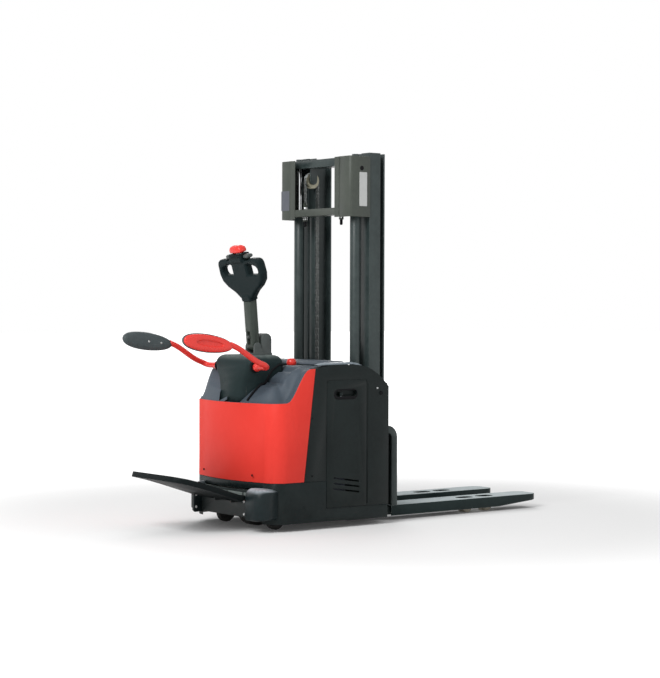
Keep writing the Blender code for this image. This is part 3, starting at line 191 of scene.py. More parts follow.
def makeDustAndTopLight():
    # dust lies on faces that look up and thickens towards the floor; on the forks, the hood and the hinge
    # caps the upward part is painted top light instead
    look = dustAndTopLightLook
    inputs = [("Coordinate", None), ("Normal", None), ("Top", 0.3), ("Low", 0.2), ("Even", 0.45)]
    group, start, end = newGroup("dustAndTopLight", inputs, ["Mask"])
    lie = group.nodes.new("ShaderNodeSeparateXYZ")
    place = group.nodes.new("ShaderNodeSeparateXYZ")
    group.links.new(start.outputs["Normal"], lie.inputs[0])
    group.links.new(start.outputs["Coordinate"], place.inputs[0])
    upward = mathNode(group, "MULTIPLY", rangeNode(group, lie.outputs["Z"], look["upFrom"], look["upTo"]),
                      start.outputs["Top"])
    low = mathNode(group, "MULTIPLY", rangeNode(group, place.outputs["Z"], look["lowFrom"], look["lowTo"]),
                   start.outputs["Low"])
    patches = noiseNode(group, start.outputs["Coordinate"], look["patchScale"], look["patchDetail"],
                        look["patchRough"])
    patchy = rangeNode(group, patches, look["patchFrom"], look["patchTo"], start.outputs["Even"], 1.0)
    mask = mathNode(group, "MULTIPLY", mathNode(group, "MAXIMUM", upward, low), patchy)
    group.links.new(mask, end.inputs["Mask"])
    return group


scratchLook = dict(lineScale=30.0, lineDetail=2.0, lineRough=0.5, gapScale=3.0, gapRough=0.6, widest=0.014,
                   thinnest=0.002, limit=0.95, reach=0.6, soft=0.1)


def makeScratches():
    # long fine scratches along the stretched direction of the coordinate
    look = scratchLook
    group, start, end = newGroup("scratches", [("Coordinate", None), ("Amount", 0.4)], ["Mask"])
    vector = start.outputs["Coordinate"]
    lines = noiseNode(group, vector, look["lineScale"], look["lineDetail"], look["lineRough"])
    gaps = noiseNode(group, vector, look["gapScale"], rough=look["gapRough"])
    middle = mathNode(group, "ABSOLUTE", mathNode(group, "SUBTRACT", lines, 0.5))
    thin = rangeNode(group, middle, look["widest"], look["thinnest"])
    limit = mathNode(group, "SUBTRACT", look["limit"],
                     mathNode(group, "MULTIPLY", start.outputs["Amount"], look["reach"]))
    gapped = rangeNode(group, gaps, limit, mathNode(group, "ADD", limit, look["soft"]))
    group.links.new(mathNode(group, "MULTIPLY", thin, gapped), end.inputs["Mask"])
    return group


groups = {"wear": makeEdgeWear(), "grain": makeGrain(), "dustAndTopLight": makeDustAndTopLight(), "scratch": makeScratches()}
print("node groups made")

# values that a finish has unless its own entry says otherwise
plainFinish = dict(spread=0.10, specular=0.5, metal=0.0, grainScale=900, grainDepth=0.2, dustAndTopLight=0.15,
                   lowDust=0.12, evenDustAndTopLight=0.45, wear=0.45, wearRadius=0.0022)
# one entry per finish: what a maker would change
finishes = {
    "redCover": dict(colour=(0.73, 0.048, 0.035), second=(0.71, 0.044, 0.032), rough=0.42, spread=0.06,
                     specular=0.10, grainScale=420, grainDepth=0.03, dustAndTopLight=0.10, wear=0.30,
                     wearColour=(0.55, 0.03, 0.02)),
    "redPaint": dict(colour=(0.74, 0.036, 0.026), second=(0.66, 0.030, 0.022), rough=0.28, spread=0.08,
                     specular=0.4, grainScale=300, grainDepth=0.012, dustAndTopLight=0.06, wear=0.25,
                     wearColour=(0.30, 0.26, 0.24)),
    "mastPaint": dict(colour=(0.021, 0.032, 0.032), second=(0.038, 0.052, 0.051), rough=0.36, spread=0.16,
                      specular=0.3, grainScale=260, grainDepth=0.07, dustAndTopLight=0.22, wear=0.50,
                      wearColour=(0.34, 0.35, 0.35), wearMetal=0.9, scratch=0.25, scratchScale=(1, 1, 0.04)),
    "yokePaint": dict(colour=(0.040, 0.048, 0.040), second=(0.058, 0.067, 0.056), rough=0.42, spread=0.14,
                      specular=0.3, grainScale=260, grainDepth=0.08, dustAndTopLight=0.25, wear=0.50,
                      wearColour=(0.3, 0.31, 0.3), wearMetal=0.9),
    # the pale colour on the forks' top faces is painted reflection of the bright surroundings, laid through
    # the upward mask
    "forkPaint": dict(colour=(0.010, 0.019, 0.019), second=(0.017, 0.028, 0.028), rough=0.36, spread=0.16,
                      specular=0.12, grainScale=260, grainDepth=0.06, dustAndTopLight=0.86, evenDustAndTopLight=0.86, lowDust=0.0,
                      wear=0.56, wearColour=(0.42, 0.43, 0.42), dustAndTopLightColour=(0.52, 0.585, 0.60), wearMetal=0.9,
                      scratch=0.6, scratchScale=(0.03, 1, 1)),
    "framePaint": dict(colour=(0.012, 0.018, 0.018), second=(0.024, 0.031, 0.031), rough=0.42, spread=0.14,
                       specular=0.25, grainScale=420, grainDepth=0.14, dustAndTopLight=0.35, wear=0.48,
                       wearColour=(0.24, 0.25, 0.25), wearMetal=0.8),
    "panelPaint": dict(colour=(0.0050, 0.0085, 0.0085), second=(0.009, 0.0140, 0.0138), rough=0.40,
                       specular=0.14, grainScale=700, grainDepth=0.16, dustAndTopLight=0.22, wear=0.42,
                       wearColour=(0.16, 0.17, 0.17), wearMetal=0.5),
    "skirtPaint": dict(colour=(0.0045, 0.0085, 0.0090), second=(0.008, 0.0135, 0.0140), rough=0.30,
                       specular=0.12, grainScale=700, grainDepth=0.12, wear=0.42,
                       wearColour=(0.16, 0.17, 0.17), wearMetal=0.5),
    "consolePlastic": dict(colour=(0.047, 0.064, 0.083), second=(0.060, 0.079, 0.099), rough=0.46,
                           specular=0.24, dustAndTopLight=0.18, wear=0.30, wearColour=(0.16, 0.18, 0.2)),
    # the paler colour on the hood's upward faces is painted top light, laid through the upward mask
    "hoodPlastic": dict(colour=(0.011, 0.021, 0.022), second=(0.016, 0.028, 0.029), rough=0.48, specular=0.10,
                        grainDepth=0.22, dustAndTopLight=0.9, lowDust=0.0, dustAndTopLightColour=(0.135, 0.160, 0.152), wear=0.32,
                        wearColour=(0.12, 0.13, 0.13)),
    "headPlastic": dict(colour=(0.0045, 0.0105, 0.0115), second=(0.0075, 0.0150, 0.0162), rough=0.50,
                        spread=0.12, specular=0.08, grainDepth=0.30, dustAndTopLight=0.10, wear=0.34,
                        wearColour=(0.07, 0.08, 0.08)),
    "blackPlastic": dict(colour=(0.004, 0.0065, 0.0072), second=(0.008, 0.012, 0.0125), rough=0.45,
                         spread=0.12, specular=0.06, grainDepth=0.25, dustAndTopLight=0.06, wear=0.30,
                         wearColour=(0.06, 0.06, 0.065)),
    "padFoam": dict(colour=(0.038, 0.052, 0.055), second=(0.060, 0.076, 0.080), rough=0.55, spread=0.12,
                    specular=0.35, grainScale=1300, grainDepth=0.45, dustAndTopLight=0.12, wear=0.30,
                    wearColour=(0.05, 0.055, 0.055)),
    "greyPlastic": dict(colour=(0.13, 0.15, 0.17), second=(0.17, 0.19, 0.21), rough=0.42, dustAndTopLight=0.10, wear=0.3,
                        wearColour=(0.25, 0.26, 0.28)),
    "paleSteel": dict(colour=(0.52, 0.53, 0.53), second=(0.40, 0.41, 0.41), rough=0.34, spread=0.18,
                      metal=1.0, grainScale=500, grainDepth=0.06, dustAndTopLight=0.12, wear=0.4,
                      wearColour=(0.7, 0.7, 0.7), wearMetal=1),
    "darkSteel": dict(colour=(0.15, 0.16, 0.157), second=(0.09, 0.097, 0.095), rough=0.42, spread=0.20,
                      metal=0.9, grainScale=500, grainDepth=0.1, dustAndTopLight=0.20, wear=0.50,
                      wearColour=(0.36, 0.37, 0.37), wearMetal=1),
    "chrome": dict(colour=(0.78, 0.79, 0.80), second=(0.70, 0.71, 0.72), rough=0.10, spread=0.06, metal=1.0,
                   grainScale=500, grainDepth=0.02, dustAndTopLight=0.05, wear=0.2, wearColour=(0.8, 0.8, 0.8),
                   wearMetal=1),
    "dullBrass": dict(colour=(0.27, 0.26, 0.19), second=(0.20, 0.19, 0.15), rough=0.42, spread=0.18,
                      metal=0.8, grainScale=400, grainDepth=0.1, dustAndTopLight=0.2, wear=0.5,
                      wearColour=(0.42, 0.40, 0.30), wearMetal=1),
    "castIron": dict(colour=(0.07, 0.075, 0.078), second=(0.10, 0.105, 0.108), rough=0.55, spread=0.14,
                     metal=0.5, grainScale=220, grainDepth=0.5, dustAndTopLight=0.35, wearColour=(0.3, 0.3, 0.3),
                     wearMetal=0.9),
    "castAlloy": dict(colour=(0.45, 0.46, 0.47), second=(0.36, 0.37, 0.38), rough=0.45, spread=0.14,
                      metal=1.0, grainScale=260, grainDepth=0.3, dustAndTopLight=0.3, wear=0.4,
                      wearColour=(0.65, 0.65, 0.65), wearMetal=1),
    "tyreRubber": dict(colour=(0.018, 0.017, 0.016), second=(0.030, 0.028, 0.026), rough=0.68, grainScale=700,
                       grainDepth=0.35, dustAndTopLight=0.55, wear=0.4, wearColour=(0.07, 0.065, 0.06)),
    "nylonRoll": dict(colour=(0.62, 0.57, 0.46), second=(0.50, 0.45, 0.36), rough=0.48, spread=0.12,
                      grainScale=400, grainDepth=0.15, dustAndTopLight=0.5, wear=0.4, wearColour=(0.4, 0.36, 0.28)),
    "gloveYellow": dict(colour=(0.62, 0.44, 0.02), second=(0.54, 0.37, 0.02), rough=0.38, spread=0.08,
                        grainScale=600, grainDepth=0.1, wear=0.3, wearColour=(0.35, 0.25, 0.05)),
    "blankLabel": dict(colour=(0.50, 0.51, 0.50), second=(0.45, 0.46, 0.45), rough=0.42, spread=0.08,
                       grainScale=500, grainDepth=0.03, wear=0.35, wearColour=(0.3, 0.3, 0.3)),
    "darkLabel": dict(colour=(0.10, 0.11, 0.128), second=(0.085, 0.092, 0.11), rough=0.42, spread=0.08,
                      specular=0.3, grainScale=500, grainDepth=0.03, dustAndTopLight=0.10, wear=0.35,
                      wearColour=(0.22, 0.22, 0.22)),
    # the light grey of the hinge rail is a painted highlight for the lit top of the hinge barrel
    "barrelPaintedHighlight": dict(colour=(0.17, 0.20, 0.19), second=(0.11, 0.13, 0.125), rough=0.36, spread=0.14,
                        specular=0.4, grainScale=420, grainDepth=0.14, dustAndTopLight=0.25,
                        wearColour=(0.34, 0.35, 0.35), wearMetal=0.8),
    # the pale colour of the shoulder strips is painted reflection of the light on the side panels' top
    # flanges
    "trimPaintedReflection": dict(colour=(0.17, 0.21, 0.24), second=(0.21, 0.25, 0.28), rough=0.4, specular=0.4,
                        grainDepth=0.15, dustAndTopLight=0.12, wear=0.3, wearColour=(0.3, 0.33, 0.36)),
    "columnPaint": dict(colour=(0.046, 0.056, 0.054), second=(0.066, 0.078, 0.075), rough=0.42, spread=0.14,
                        specular=0.35, grainScale=420, grainDepth=0.14, dustAndTopLight=0.2,
                        wearColour=(0.24, 0.25, 0.25), wearMetal=0.8),
    "stalkPaint": dict(colour=(0.024, 0.033, 0.027), second=(0.036, 0.047, 0.039), rough=0.38, spread=0.14,
                       specular=0.25, grainScale=420, grainDepth=0.10, dustAndTopLight=0.1,
                       wearColour=(0.24, 0.25, 0.25), wearMetal=0.8),
    # the pale blue-grey on the hinge caps' rounded tops is painted top light, laid through the upward mask
    "capPlastic": dict(colour=(0.008, 0.014, 0.015), second=(0.013, 0.021, 0.023), rough=0.38, spread=0.12,
                       specular=0.16, grainScale=500, grainDepth=0.12, dustAndTopLight=1.0, lowDust=0.0,
                       dustAndTopLightColour=(0.50, 0.57, 0.62), wear=0.4, wearColour=(0.2, 0.22, 0.23)),
    # near-black for real black parts, and also for painted shade: the discs over the yoke holes and the strip
    # at the hood's foot
    "blackPartsAndPaintedShade": dict(colour=(0.003, 0.003, 0.004), second=(0.006, 0.006, 0.007), rough=0.7, specular=0.12,
                      dustAndTopLight=0.0, wear=0.1, wearColour=(0.02, 0.02, 0.02)),
    "batteryCase": dict(colour=(0.05, 0.06, 0.085), second=(0.07, 0.08, 0.11), rough=0.5, spread=0.12,
                        grainScale=700, dustAndTopLight=0.35, wear=0.35, wearColour=(0.14, 0.15, 0.18)),
}


finishShared = dict(scratchDepth=0.6, dustRough=0.4, dustAndTopLightColour=(0.20, 0.20, 0.18), dustShare=0.3,
                    bumpDistance=0.0006)


def makeFinish(name, own):
    look = {**plainFinish, **own}
    shared = finishShared
    material = bpy.data.materials.new(name)
    material.use_nodes = True
    tree = material.node_tree
    shader = tree.nodes["Principled BSDF"]
    coordinate = tree.nodes.new("ShaderNodeTexCoord")
    place = coordinate.outputs["Object"]

    def placed(key, **values):
        node = tree.nodes.new("ShaderNodeGroup")
        node.node_tree = groups[key]
        tree.links.new(place, node.inputs["Coordinate"])
        for label, value in values.items():
            node.inputs[label].default_value = value
        return node

    def mixColour(mask, a, b):
        node = tree.nodes.new("ShaderNodeMix")
        node.data_type = "RGBA"
        tree.links.new(mask, node.inputs[0])
        for socket, value in ((node.inputs[6], a), (node.inputs[7], b)):
            if isinstance(value, bpy.types.NodeSocket):
                tree.links.new(value, socket)
            else:
                socket.default_value = (*value, 1)
        return node.outputs[2]

    grain = placed("grain", Scale=look["grainScale"])
    wear = placed("wear", Radius=look["wearRadius"], Amount=look["wear"]).outputs["Mask"]
    dustAndTopLight = placed("dustAndTopLight", Top=look["dustAndTopLight"], Low=look["lowDust"], Even=look["evenDustAndTopLight"])
    tree.links.new(coordinate.outputs["Normal"], dustAndTopLight.inputs["Normal"])
    bare = wear
    if "scratch" in look:
        lines = placed("scratch", Amount=look["scratch"])
        tree.links.new(stretched(tree, place, look["scratchScale"]), lines.inputs["Coordinate"])
        faint = mathNode(tree, "MULTIPLY", lines.outputs["Mask"], shared["scratchDepth"])
        bare = mathNode(tree, "MAXIMUM", wear, faint)
    colour = mixColour(grain.outputs["Mottle"], look["colour"], look["second"])
    colour = mixColour(bare, colour, look["wearColour"])
    share = shared["dustShare"]
    dusty = tuple((1 - share) * c + share * d for c, d in zip(look["second"], shared["dustAndTopLightColour"]))
    # the mask lays the dust colour, or a finish's own pale colour where the upward part is painted top light
    colour = mixColour(dustAndTopLight.outputs["Mask"], colour, look.get("dustAndTopLightColour", dusty))
    tree.links.new(colour, shader.inputs["Base Color"])
    rough = rangeNode(tree, grain.outputs["Mottle"], 0.0, 1.0, look["rough"] - look["spread"] / 2,
                      look["rough"] + look["spread"] / 2)
    dull = mathNode(tree, "MULTIPLY", dustAndTopLight.outputs["Mask"], shared["dustRough"])
    rough = mathNode(tree, "ADD", rough, dull, True)
    tree.links.new(rough, shader.inputs["Roughness"])
    metal = look["metal"]
    wearMetal = look.get("wearMetal", metal)
    if wearMetal != metal:
        tree.links.new(rangeNode(tree, bare, 0.0, 1.0, metal, wearMetal), shader.inputs["Metallic"])
    else:
        shader.inputs["Metallic"].default_value = metal
    shader.inputs["Specular IOR Level"].default_value = look["specular"]
    bump = tree.nodes.new("ShaderNodeBump")
    bump.inputs["Strength"].default_value = min(1.0, look["grainDepth"] * 2)
    bump.inputs["Distance"].default_value = shared["bumpDistance"]
    tree.links.new(grain.outputs["Height"], bump.inputs["Height"])
    tree.links.new(bump.outputs["Normal"], shader.inputs["Normal"])
    return material


materials = {name: makeFinish(name, look) for name, look in finishes.items()}
print("finishes made:", len(materials))

# which finish each carried-over node wears, with the width of its broken edges
nodeLooks = {
    "redCover": (["drive_cover"], 0.0015),
    "redPaint": (["stop_button", "side_arm_left", "side_arm_right", "reverse_button"], 0.001),
    "mastPaint": (["outer_rail_left", "outer_rail_right", "inner_mast", "lift_cylinder_left",
                   "lift_cylinder_right",
                   "fork_frame", "leg_left", "leg_right"], 0.0015),
    "yokePaint": (["mast_yoke"], 0.002),
    "forkPaint": (["fork_left", "fork_right"], 0.002),
    "framePaint": (["chassis_frame", "platform_bracket", "drive_motor", "hydraulic_unit"], 0.0015),
    "columnPaint": (["steering_column"], 0.0015),
    "stalkPaint": (["tiller_arm"], 0.0015),
    "skirtPaint": (["lower_skirt"], 0.0008),
    "panelPaint": (["side_panel_left", "side_panel_right", "side_door"], 0.0008),
    "consolePlastic": (["battery_lid", "console"], 0.0015),
    "hoodPlastic": (["tiller_hood"], 0.0015),
    "headPlastic": (["tiller_head"], 0.001),
    "blackPlastic": (["throttle_wings", "platform"], 0.002),
    "greyPlastic": (["lift_rocker"], 0.001),
    "gloveYellow": (["horn_button", "stop_collar"], 0.0008),
    "padFoam": (["arm_pad_left", "arm_pad_right"], 0.002),
    "chrome": (["lift_rod_left", "lift_rod_right"], 0.0008),
    "paleSteel": (["key", "caster_fork_left", "caster_fork_right"], 0.0008),
    "darkSteel": (["lift_chain_left", "lift_chain_right", "carriage_roller_left_1", "carriage_roller_left_2",
                   "carriage_roller_right_1", "carriage_roller_right_2"], 0.001),
    "dullBrass": (["chain_pulley_left", "chain_pulley_right"], 0.0008),
    "nylonRoll": (["load_roller_left_1", "load_roller_left_2", "load_roller_right_1",
                   "load_roller_right_2"], 0.002),
    "tyreRubber": (["drive_wheel", "caster_wheel_left", "caster_wheel_right"], 0.002),
    "castIron": (["drive_gearbox"], 0.002),
    "castAlloy": (["motor_controller"], 0.001),
    "batteryCase": (["battery"], 0.003),
}


edgeLook = dict(weld=0.00002, segments=2, angle=math.radians(32))


def roundEdges(obj, width):
    rounding = obj.modifiers.new("rounding", "BEVEL")
    rounding.width = width
    rounding.segments = edgeLook["segments"]
    rounding.limit_method = "ANGLE"
    rounding.angle_limit = edgeLook["angle"]
    rounding.harden_normals = True


def dressNode(node, finish, edge):
    # a better material, welded and smooth-shaded, with every sharp edge slightly broken
    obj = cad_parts[node]
    obj.data.materials.clear()
    obj.data.materials.append(materials[finish])
    for polygon in obj.data.polygons:
        polygon.use_smooth = True
        polygon.material_index = 0
    weld = obj.modifiers.new("weld", "WELD")
    weld.merge_threshold = edgeLook["weld"]
    roundEdges(obj, edge)


for finishName, (members, edgeWidth) in nodeLooks.items():
    for member in members:
        dressNode(member, finishName, edgeWidth)
print("frame nodes dressed")


# mesh helpers: each adds closed shapes to a bmesh
def addLoft(work, rings, closedEnds=True):
    # rings of equal length joined in order, with a face over each end
    made = [[work.verts.new(point) for point in ring] for ring in rings]
    count = len(made[0])
    for first, second in zip(made, made[1:]):
        for i in range(count):
            j = (i + 1) % count
            work.faces.new((first[i], first[j], second[j], second[i]))
    if closedEnds:
        work.faces.new(made[0][::-1])
        work.faces.new(made[-1])


def acrossAxis(axis):
    axis = Vector(axis).normalized()
    side = axis.orthogonal().normalized()
    return axis, side, axis.cross(side)


def addTurned(work, place, axis, profile, sides=24):
    # profile of (radius, height along the axis), from one end to the other
    along, side, other = acrossAxis(axis)
    rings = []
    for radius, height in profile:
        centre = Vector(place) + along * height
        rings.append([centre + side * radius * math.cos(a) + other * radius * math.sin(a)
                      for a in angles(sides)])
    addLoft(work, rings)


def addTube(work, path, radius, sides=18):
    # round bar along a path
    path = [Vector(point) for point in path]
    rings = []
    side = None
    for i, point in enumerate(path):
        ahead = (path[min(i + 1, len(path) - 1)] - path[max(i - 1, 0)]).normalized()
        side = (ahead.orthogonal() if side is None else side - ahead * side.dot(ahead)).normalized()
        other = ahead.cross(side)
        rings.append([point + (side * math.cos(a) + other * math.sin(a)) * radius for a in angles(sides)])
    addLoft(work, rings)


def addBlock(work, low, high):
    corners = [[Vector((x, y, z)) for x, y in ((low[0], low[1]), (high[0], low[1]), (high[0], high[1]),
                                              (low[0], high[1]))] for z in (low[2], high[2])]
    addLoft(work, corners)


def addPlate(work, outline, place, right, upward, thick):
    # flat outline of (u, v) points, thickened along right x upward
    right, upward = Vector(right).normalized(), Vector(upward).normalized()
    outward = right.cross(upward)
    rings = [[Vector(place) + right * u + upward * v + outward * depth for u, v in outline]
             for depth in (0, thick)]
    addLoft(work, rings)


boltLook = dict(washer=((0.62, 0), (0.66, 0.03), (0.66, 0.11), (0.60, 0.14)),
                head=((0.56, 0.13), (0.575, 0.16), (0.575, 0.66), (0.51, 0.74), (0.20, 0.76)))


def addBolt(work, place, axis, size):
    # washer and chamfered hexagon head, slightly domed; size is the width across flats
    along, side, other = acrossAxis(axis)
    addTurned(work, place, axis, [(radius * size, height * size) for radius, height in boltLook["washer"]])
    addLoft(work, [[Vector(place) + along * height * size
                    + (side * math.cos(a) + other * math.sin(a)) * radius * size for a in angles(6)]
                   for radius, height in boltLook["head"]])


screwLine = ((0.9, -0.2), (1, 0), (0.97, 0.3), (0.78, 0.5), (0.48, 0.55), (0.44, 0.5), (0.40, 0.12))


def addScrew(work, place, axis, radius):
    # pan head with a socket
    addTurned(work, place, axis, [(radius * out, radius * height) for out, height in screwLine], 20)


def stadiumLine(halfLong, halfShort, steps=8):
    # closed line round a slot with round ends, long way along u
    straight = halfLong - halfShort
    right = [(straight + halfShort * math.cos(a), halfShort * math.sin(a))
             for a in (math.pi * (k / steps - 0.5) for k in range(steps + 1))]
    return right + [(-u, -v) for u, v in right]


def roundedBox(halfLong, halfShort, radius):
    line = []
    for signU, signV, start in ((1, -1, -90), (1, 1, 0), (-1, 1, 90), (-1, -1, 180)):
        line += [(signU * (halfLong - radius) + radius * math.cos(a),
                  signV * (halfShort - radius) + radius * math.sin(a)) for a in quarter(4, start)]
    return line


def smoothPath(points, steps=6):
    # Catmull-Rom curve through the points
    points = [Vector(point) for point in points]
    line = []
    for i in range(len(points) - 1):
        p0, p1, p2, p3 = (points[max(0, min(i + k, len(points) - 1))] for k in (-1, 0, 1, 2))
        for k in range(steps):
            t = k / steps
            line.append(0.5 * (2 * p1 + (p2 - p0) * t + (2 * p0 - 5 * p1 + 4 * p2 - p3) * t * t
                               + (3 * p1 - p0 - 3 * p2 + p3) * t ** 3))
    return line + [points[-1]]


def ease(t):
    t = max(0.0, min(1.0, t))
    return t * t * (3 - 2 * t)


def makePiece(name, work, finish, body, edge=0.0, ride=True):
    bmesh.ops.recalc_face_normals(work, faces=work.faces)
    mesh = bpy.data.meshes.new(name)
    work.to_mesh(mesh)
    work.free()
    obj = bpy.data.objects.new(name, mesh)
    bpy.context.scene.collection.objects.link(obj)
    mesh.polygons.foreach_set("use_smooth", [True] * len(mesh.polygons))
    mesh.materials.append(materials[finish])
    if edge:
        roundEdges(obj, edge)
    if ride:
        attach(obj, body)
    return obj


# leaf chains: plates on pins, over the pulleys
chainLook = dict(y=0.172, rearX=back(0.327), frontX=back(0.237), anchorZ=1.815, lugZ=0.405, pulleyZ=1.975,
                 stretchFrom=1.844, radius=0.045, turnLinks=8, travel=1.45, pitch=0.0190, plateHalf=0.0058,
                 plateThick=0.0030, waist=0.50, pinRadius=0.0028, pinHalf=0.0115,
                 innerPlates=(-0.0075, -0.0013, 0.0049), outerPlates=(-0.0104, -0.0044, 0.0016, 0.0076))


def addLink(work, start, end, number):
    # links take turns with three inner and four outer plates, and each has one pin at its start
    look = chainLook
    start, end = Vector(start), Vector(end)
    along = (end - start).normalized()
    across = Vector((0, 1, 0))
    edgeways = along.cross(across)
    length = (end - start).length
    outline = []
    for a in angles(12):
        u = math.cos(a) * look["plateHalf"] + (length if math.cos(a) > 0 else 0)
        waist = look["waist"] if abs(math.cos(a)) < 0.3 else 1.0
        outline.append((u, math.sin(a) * look["plateHalf"] * waist))
    for offset in look["innerPlates"] if number % 2 else look["outerPlates"]:
        addPlate(work, outline, start + across * offset, along, edgeways, -look["plateThick"])
    pin = look["pinRadius"]
    addTurned(work, start, across, [(pin, -look["pinHalf"]), (pin, look["pinHalf"])], 8)


def makeChains():
    look = chainLook
    frontX, rearX, pulleyZ, radius = look["frontX"], look["rearX"], look["pulleyZ"], look["radius"]
    for name, side in (("left", 1), ("right", -1)):
        y = side * look["y"]

        def run(x, low):
            work = bmesh.new()
            count = max(1, round((pulleyZ - low) / look["pitch"]))
            for i in range(count):
                addLink(work, (x, y, pulleyZ - (pulleyZ - low) * i / count),
                        (x, y, pulleyZ - (pulleyZ - low) * (i + 1) / count), i)
            return work

        front = makePiece("chain_front_" + name, run(frontX, look["lugZ"]), "darkSteel", "inner_mast")
        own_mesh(front)
        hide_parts("lift_chain_" + name)
        rear = makePiece("chain_rear_" + name, run(rearX, look["anchorZ"]), "darkSteel", "chassis",
                         ride=False)
        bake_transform(rear)
        work = bmesh.new()
        middle = (rearX + frontX) / 2
        turn = [(middle + radius * math.cos(a), y, pulleyZ + radius * math.sin(a))
                for a in (math.pi * k / look["turnLinks"] for k in range(look["turnLinks"] + 1))]
        for i, (start, end) in enumerate(zip(turn, turn[1:])):
            addLink(work, start, end, i)
        makePiece("chain_turn_" + name, work, "darkSteel", "inner_mast")


# side arms: bent tube with a rolled boss where it enters the hood
armLook = dict(pivotX=back(0.930), pivotZ=0.900, planeY=0.305, radius=0.0158, endX=back(1.185), endZ=1.030,
               innerY=0.098, neckY=(0.16, 0.22), bend=0.034, wave=0.007, bossRadius=0.0235, bossY=0.180,
               bossLine=((0.7, 0), (0.94, 0.003), (1, 0.010), (1, 0.018), (0.93, 0.026), (0.78, 0.032),
                         (0.66, 0.035)))


def makeArm(name, side):
    look = armLook
    pivotX, pivotZ, bend, plane = look["pivotX"], look["pivotZ"], look["bend"], look["planeY"]
    lean = math.atan2(look["endZ"] - pivotZ, pivotX - look["endX"])
    path = [(pivotX, side * y, pivotZ) for y in (look["innerY"], *look["neckY"])]
    for a in quarter(8):
        run = bend * (1 - math.cos(a))
        path.append((pivotX - run * math.cos(lean), side * (plane - bend * (1 - math.sin(a))),
                     pivotZ + run * math.sin(lean)))
    reach = pivotX - bend * math.cos(lean) - look["endX"]
    for k in range(1, 9):
        t = k / 8
        wave = look["wave"] * math.sin(2 * math.pi * t)
        path.append((pivotX - bend * math.cos(lean) - reach * t + wave * math.sin(lean), side * plane,
                     pivotZ + bend * math.sin(lean) + reach * math.tan(lean) * t - wave))
    work = bmesh.new()
    addTube(work, smoothPath(path, 3), look["radius"], 20)
    addTurned(work, (pivotX, side * look["bossY"], pivotZ), (0, side, 0),
              [(look["bossRadius"] * out, height) for out, height in look["bossLine"]])
    arm = makePiece("arm_tube_" + name, work, "redPaint", "side_arm_" + name)
    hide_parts("side_arm_" + name)


# arm pads: foam cushion on the inner side, red shell with a long recess on the outer side
padLook = dict(centreX=back(1.3315), centreZ=1.038, halfLong=0.1615, halfHigh=0.051, halfThick=0.020,
               rise=0.037, taper=0.16, steps=64, powerLong=0.80, powerHigh=0.88, recessLong=0.086,
               recessHigh=0.0165, recessX=0.006, screws=(0.0, 0.082), screwRadius=0.0062,
               # (inset, share of half the thickness) from face to edge, and from edge to face
               foam=((0.046, -1), (0.036, -0.985), (0.026, -0.94), (0.016, -0.84), (0.008, -0.68),
                     (0.003, -0.45), (0.0006, -0.2), (0.0006, 0.05), (0.002, 0.18), (0.006, 0.24)),
               shell=((0.010, 0.10), (0.0065, 0.14), (0.0050, 0.28), (0.0056, 0.50), (0.0085, 0.72),
                      (0.0130, 0.88), (0.0190, 0.96), (0.0260, 0.985)),
               # recess rings: (added length, added height, share of half the thickness)
               recess=((0.012, 0.0060, 0.99), (0.003, 0.0022, 0.97), (0, 0, 0.90), (-0.003, -0.0025, 0.66),
                       (-0.008, -0.0060, 0.60), (-0.030, -0.0120, 0.62)))


def makePad(name, side):
    look = padLook
    half, plane = look["halfThick"], armLook["planeY"]

    def padPoint(u, v, depth):
        drop = u / look["halfLong"] * look["rise"] / 2
        return Vector((look["centreX"] + u, side * (plane + depth), look["centreZ"] + v - drop))

    def ring(inset, share):
        # squared oval of the pad, drawn in by inset and slimmer towards its front
        points = []
        for a in angles(look["steps"]):
            u = bulge(math.cos(a), look["powerLong"]) * (look["halfLong"] - inset)
            v = bulge(math.sin(a), look["powerHigh"]) * (look["halfHigh"] - inset)
            v *= 1 - look["taper"] * max(0.0, u / look["halfLong"])
            points.append(padPoint(u, v, half * share))
        return points

    def recessRing(growLong, growHigh, share):
        halfU, halfV = look["recessLong"] + growLong, look["recessHigh"] + growHigh
        return [padPoint(math.cos(a) * halfU + look["recessX"], math.sin(a) * halfV, half * share)
                for a in angles(look["steps"])]

    work = bmesh.new()
    addLoft(work, [ring(*row) for row in look["foam"]])
    cushion = makePiece("arm_cushion_" + name, work, "padFoam", "side_arm_" + name)
    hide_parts("arm_pad_" + name)
    work = bmesh.new()
    addLoft(work, [ring(*row) for row in look["shell"]] + [recessRing(*row) for row in look["recess"]])
    makePiece("arm_shell_" + name, work, "redPaint", "side_arm_" + name)
    work = bmesh.new()
    for u in look["screws"]:
        addScrew(work, padPoint(u, 0, -half * 0.97), (0, -side, 0), look["screwRadius"])
    makePiece("arm_screws_" + name, work, "paleSteel", "side_arm_" + name)


makeChains()
for armName, armSide in (("left", 1), ("right", -1)):
    makeArm(armName, armSide)
    makePad(armName, armSide)
print("chains, side arms and pads built")


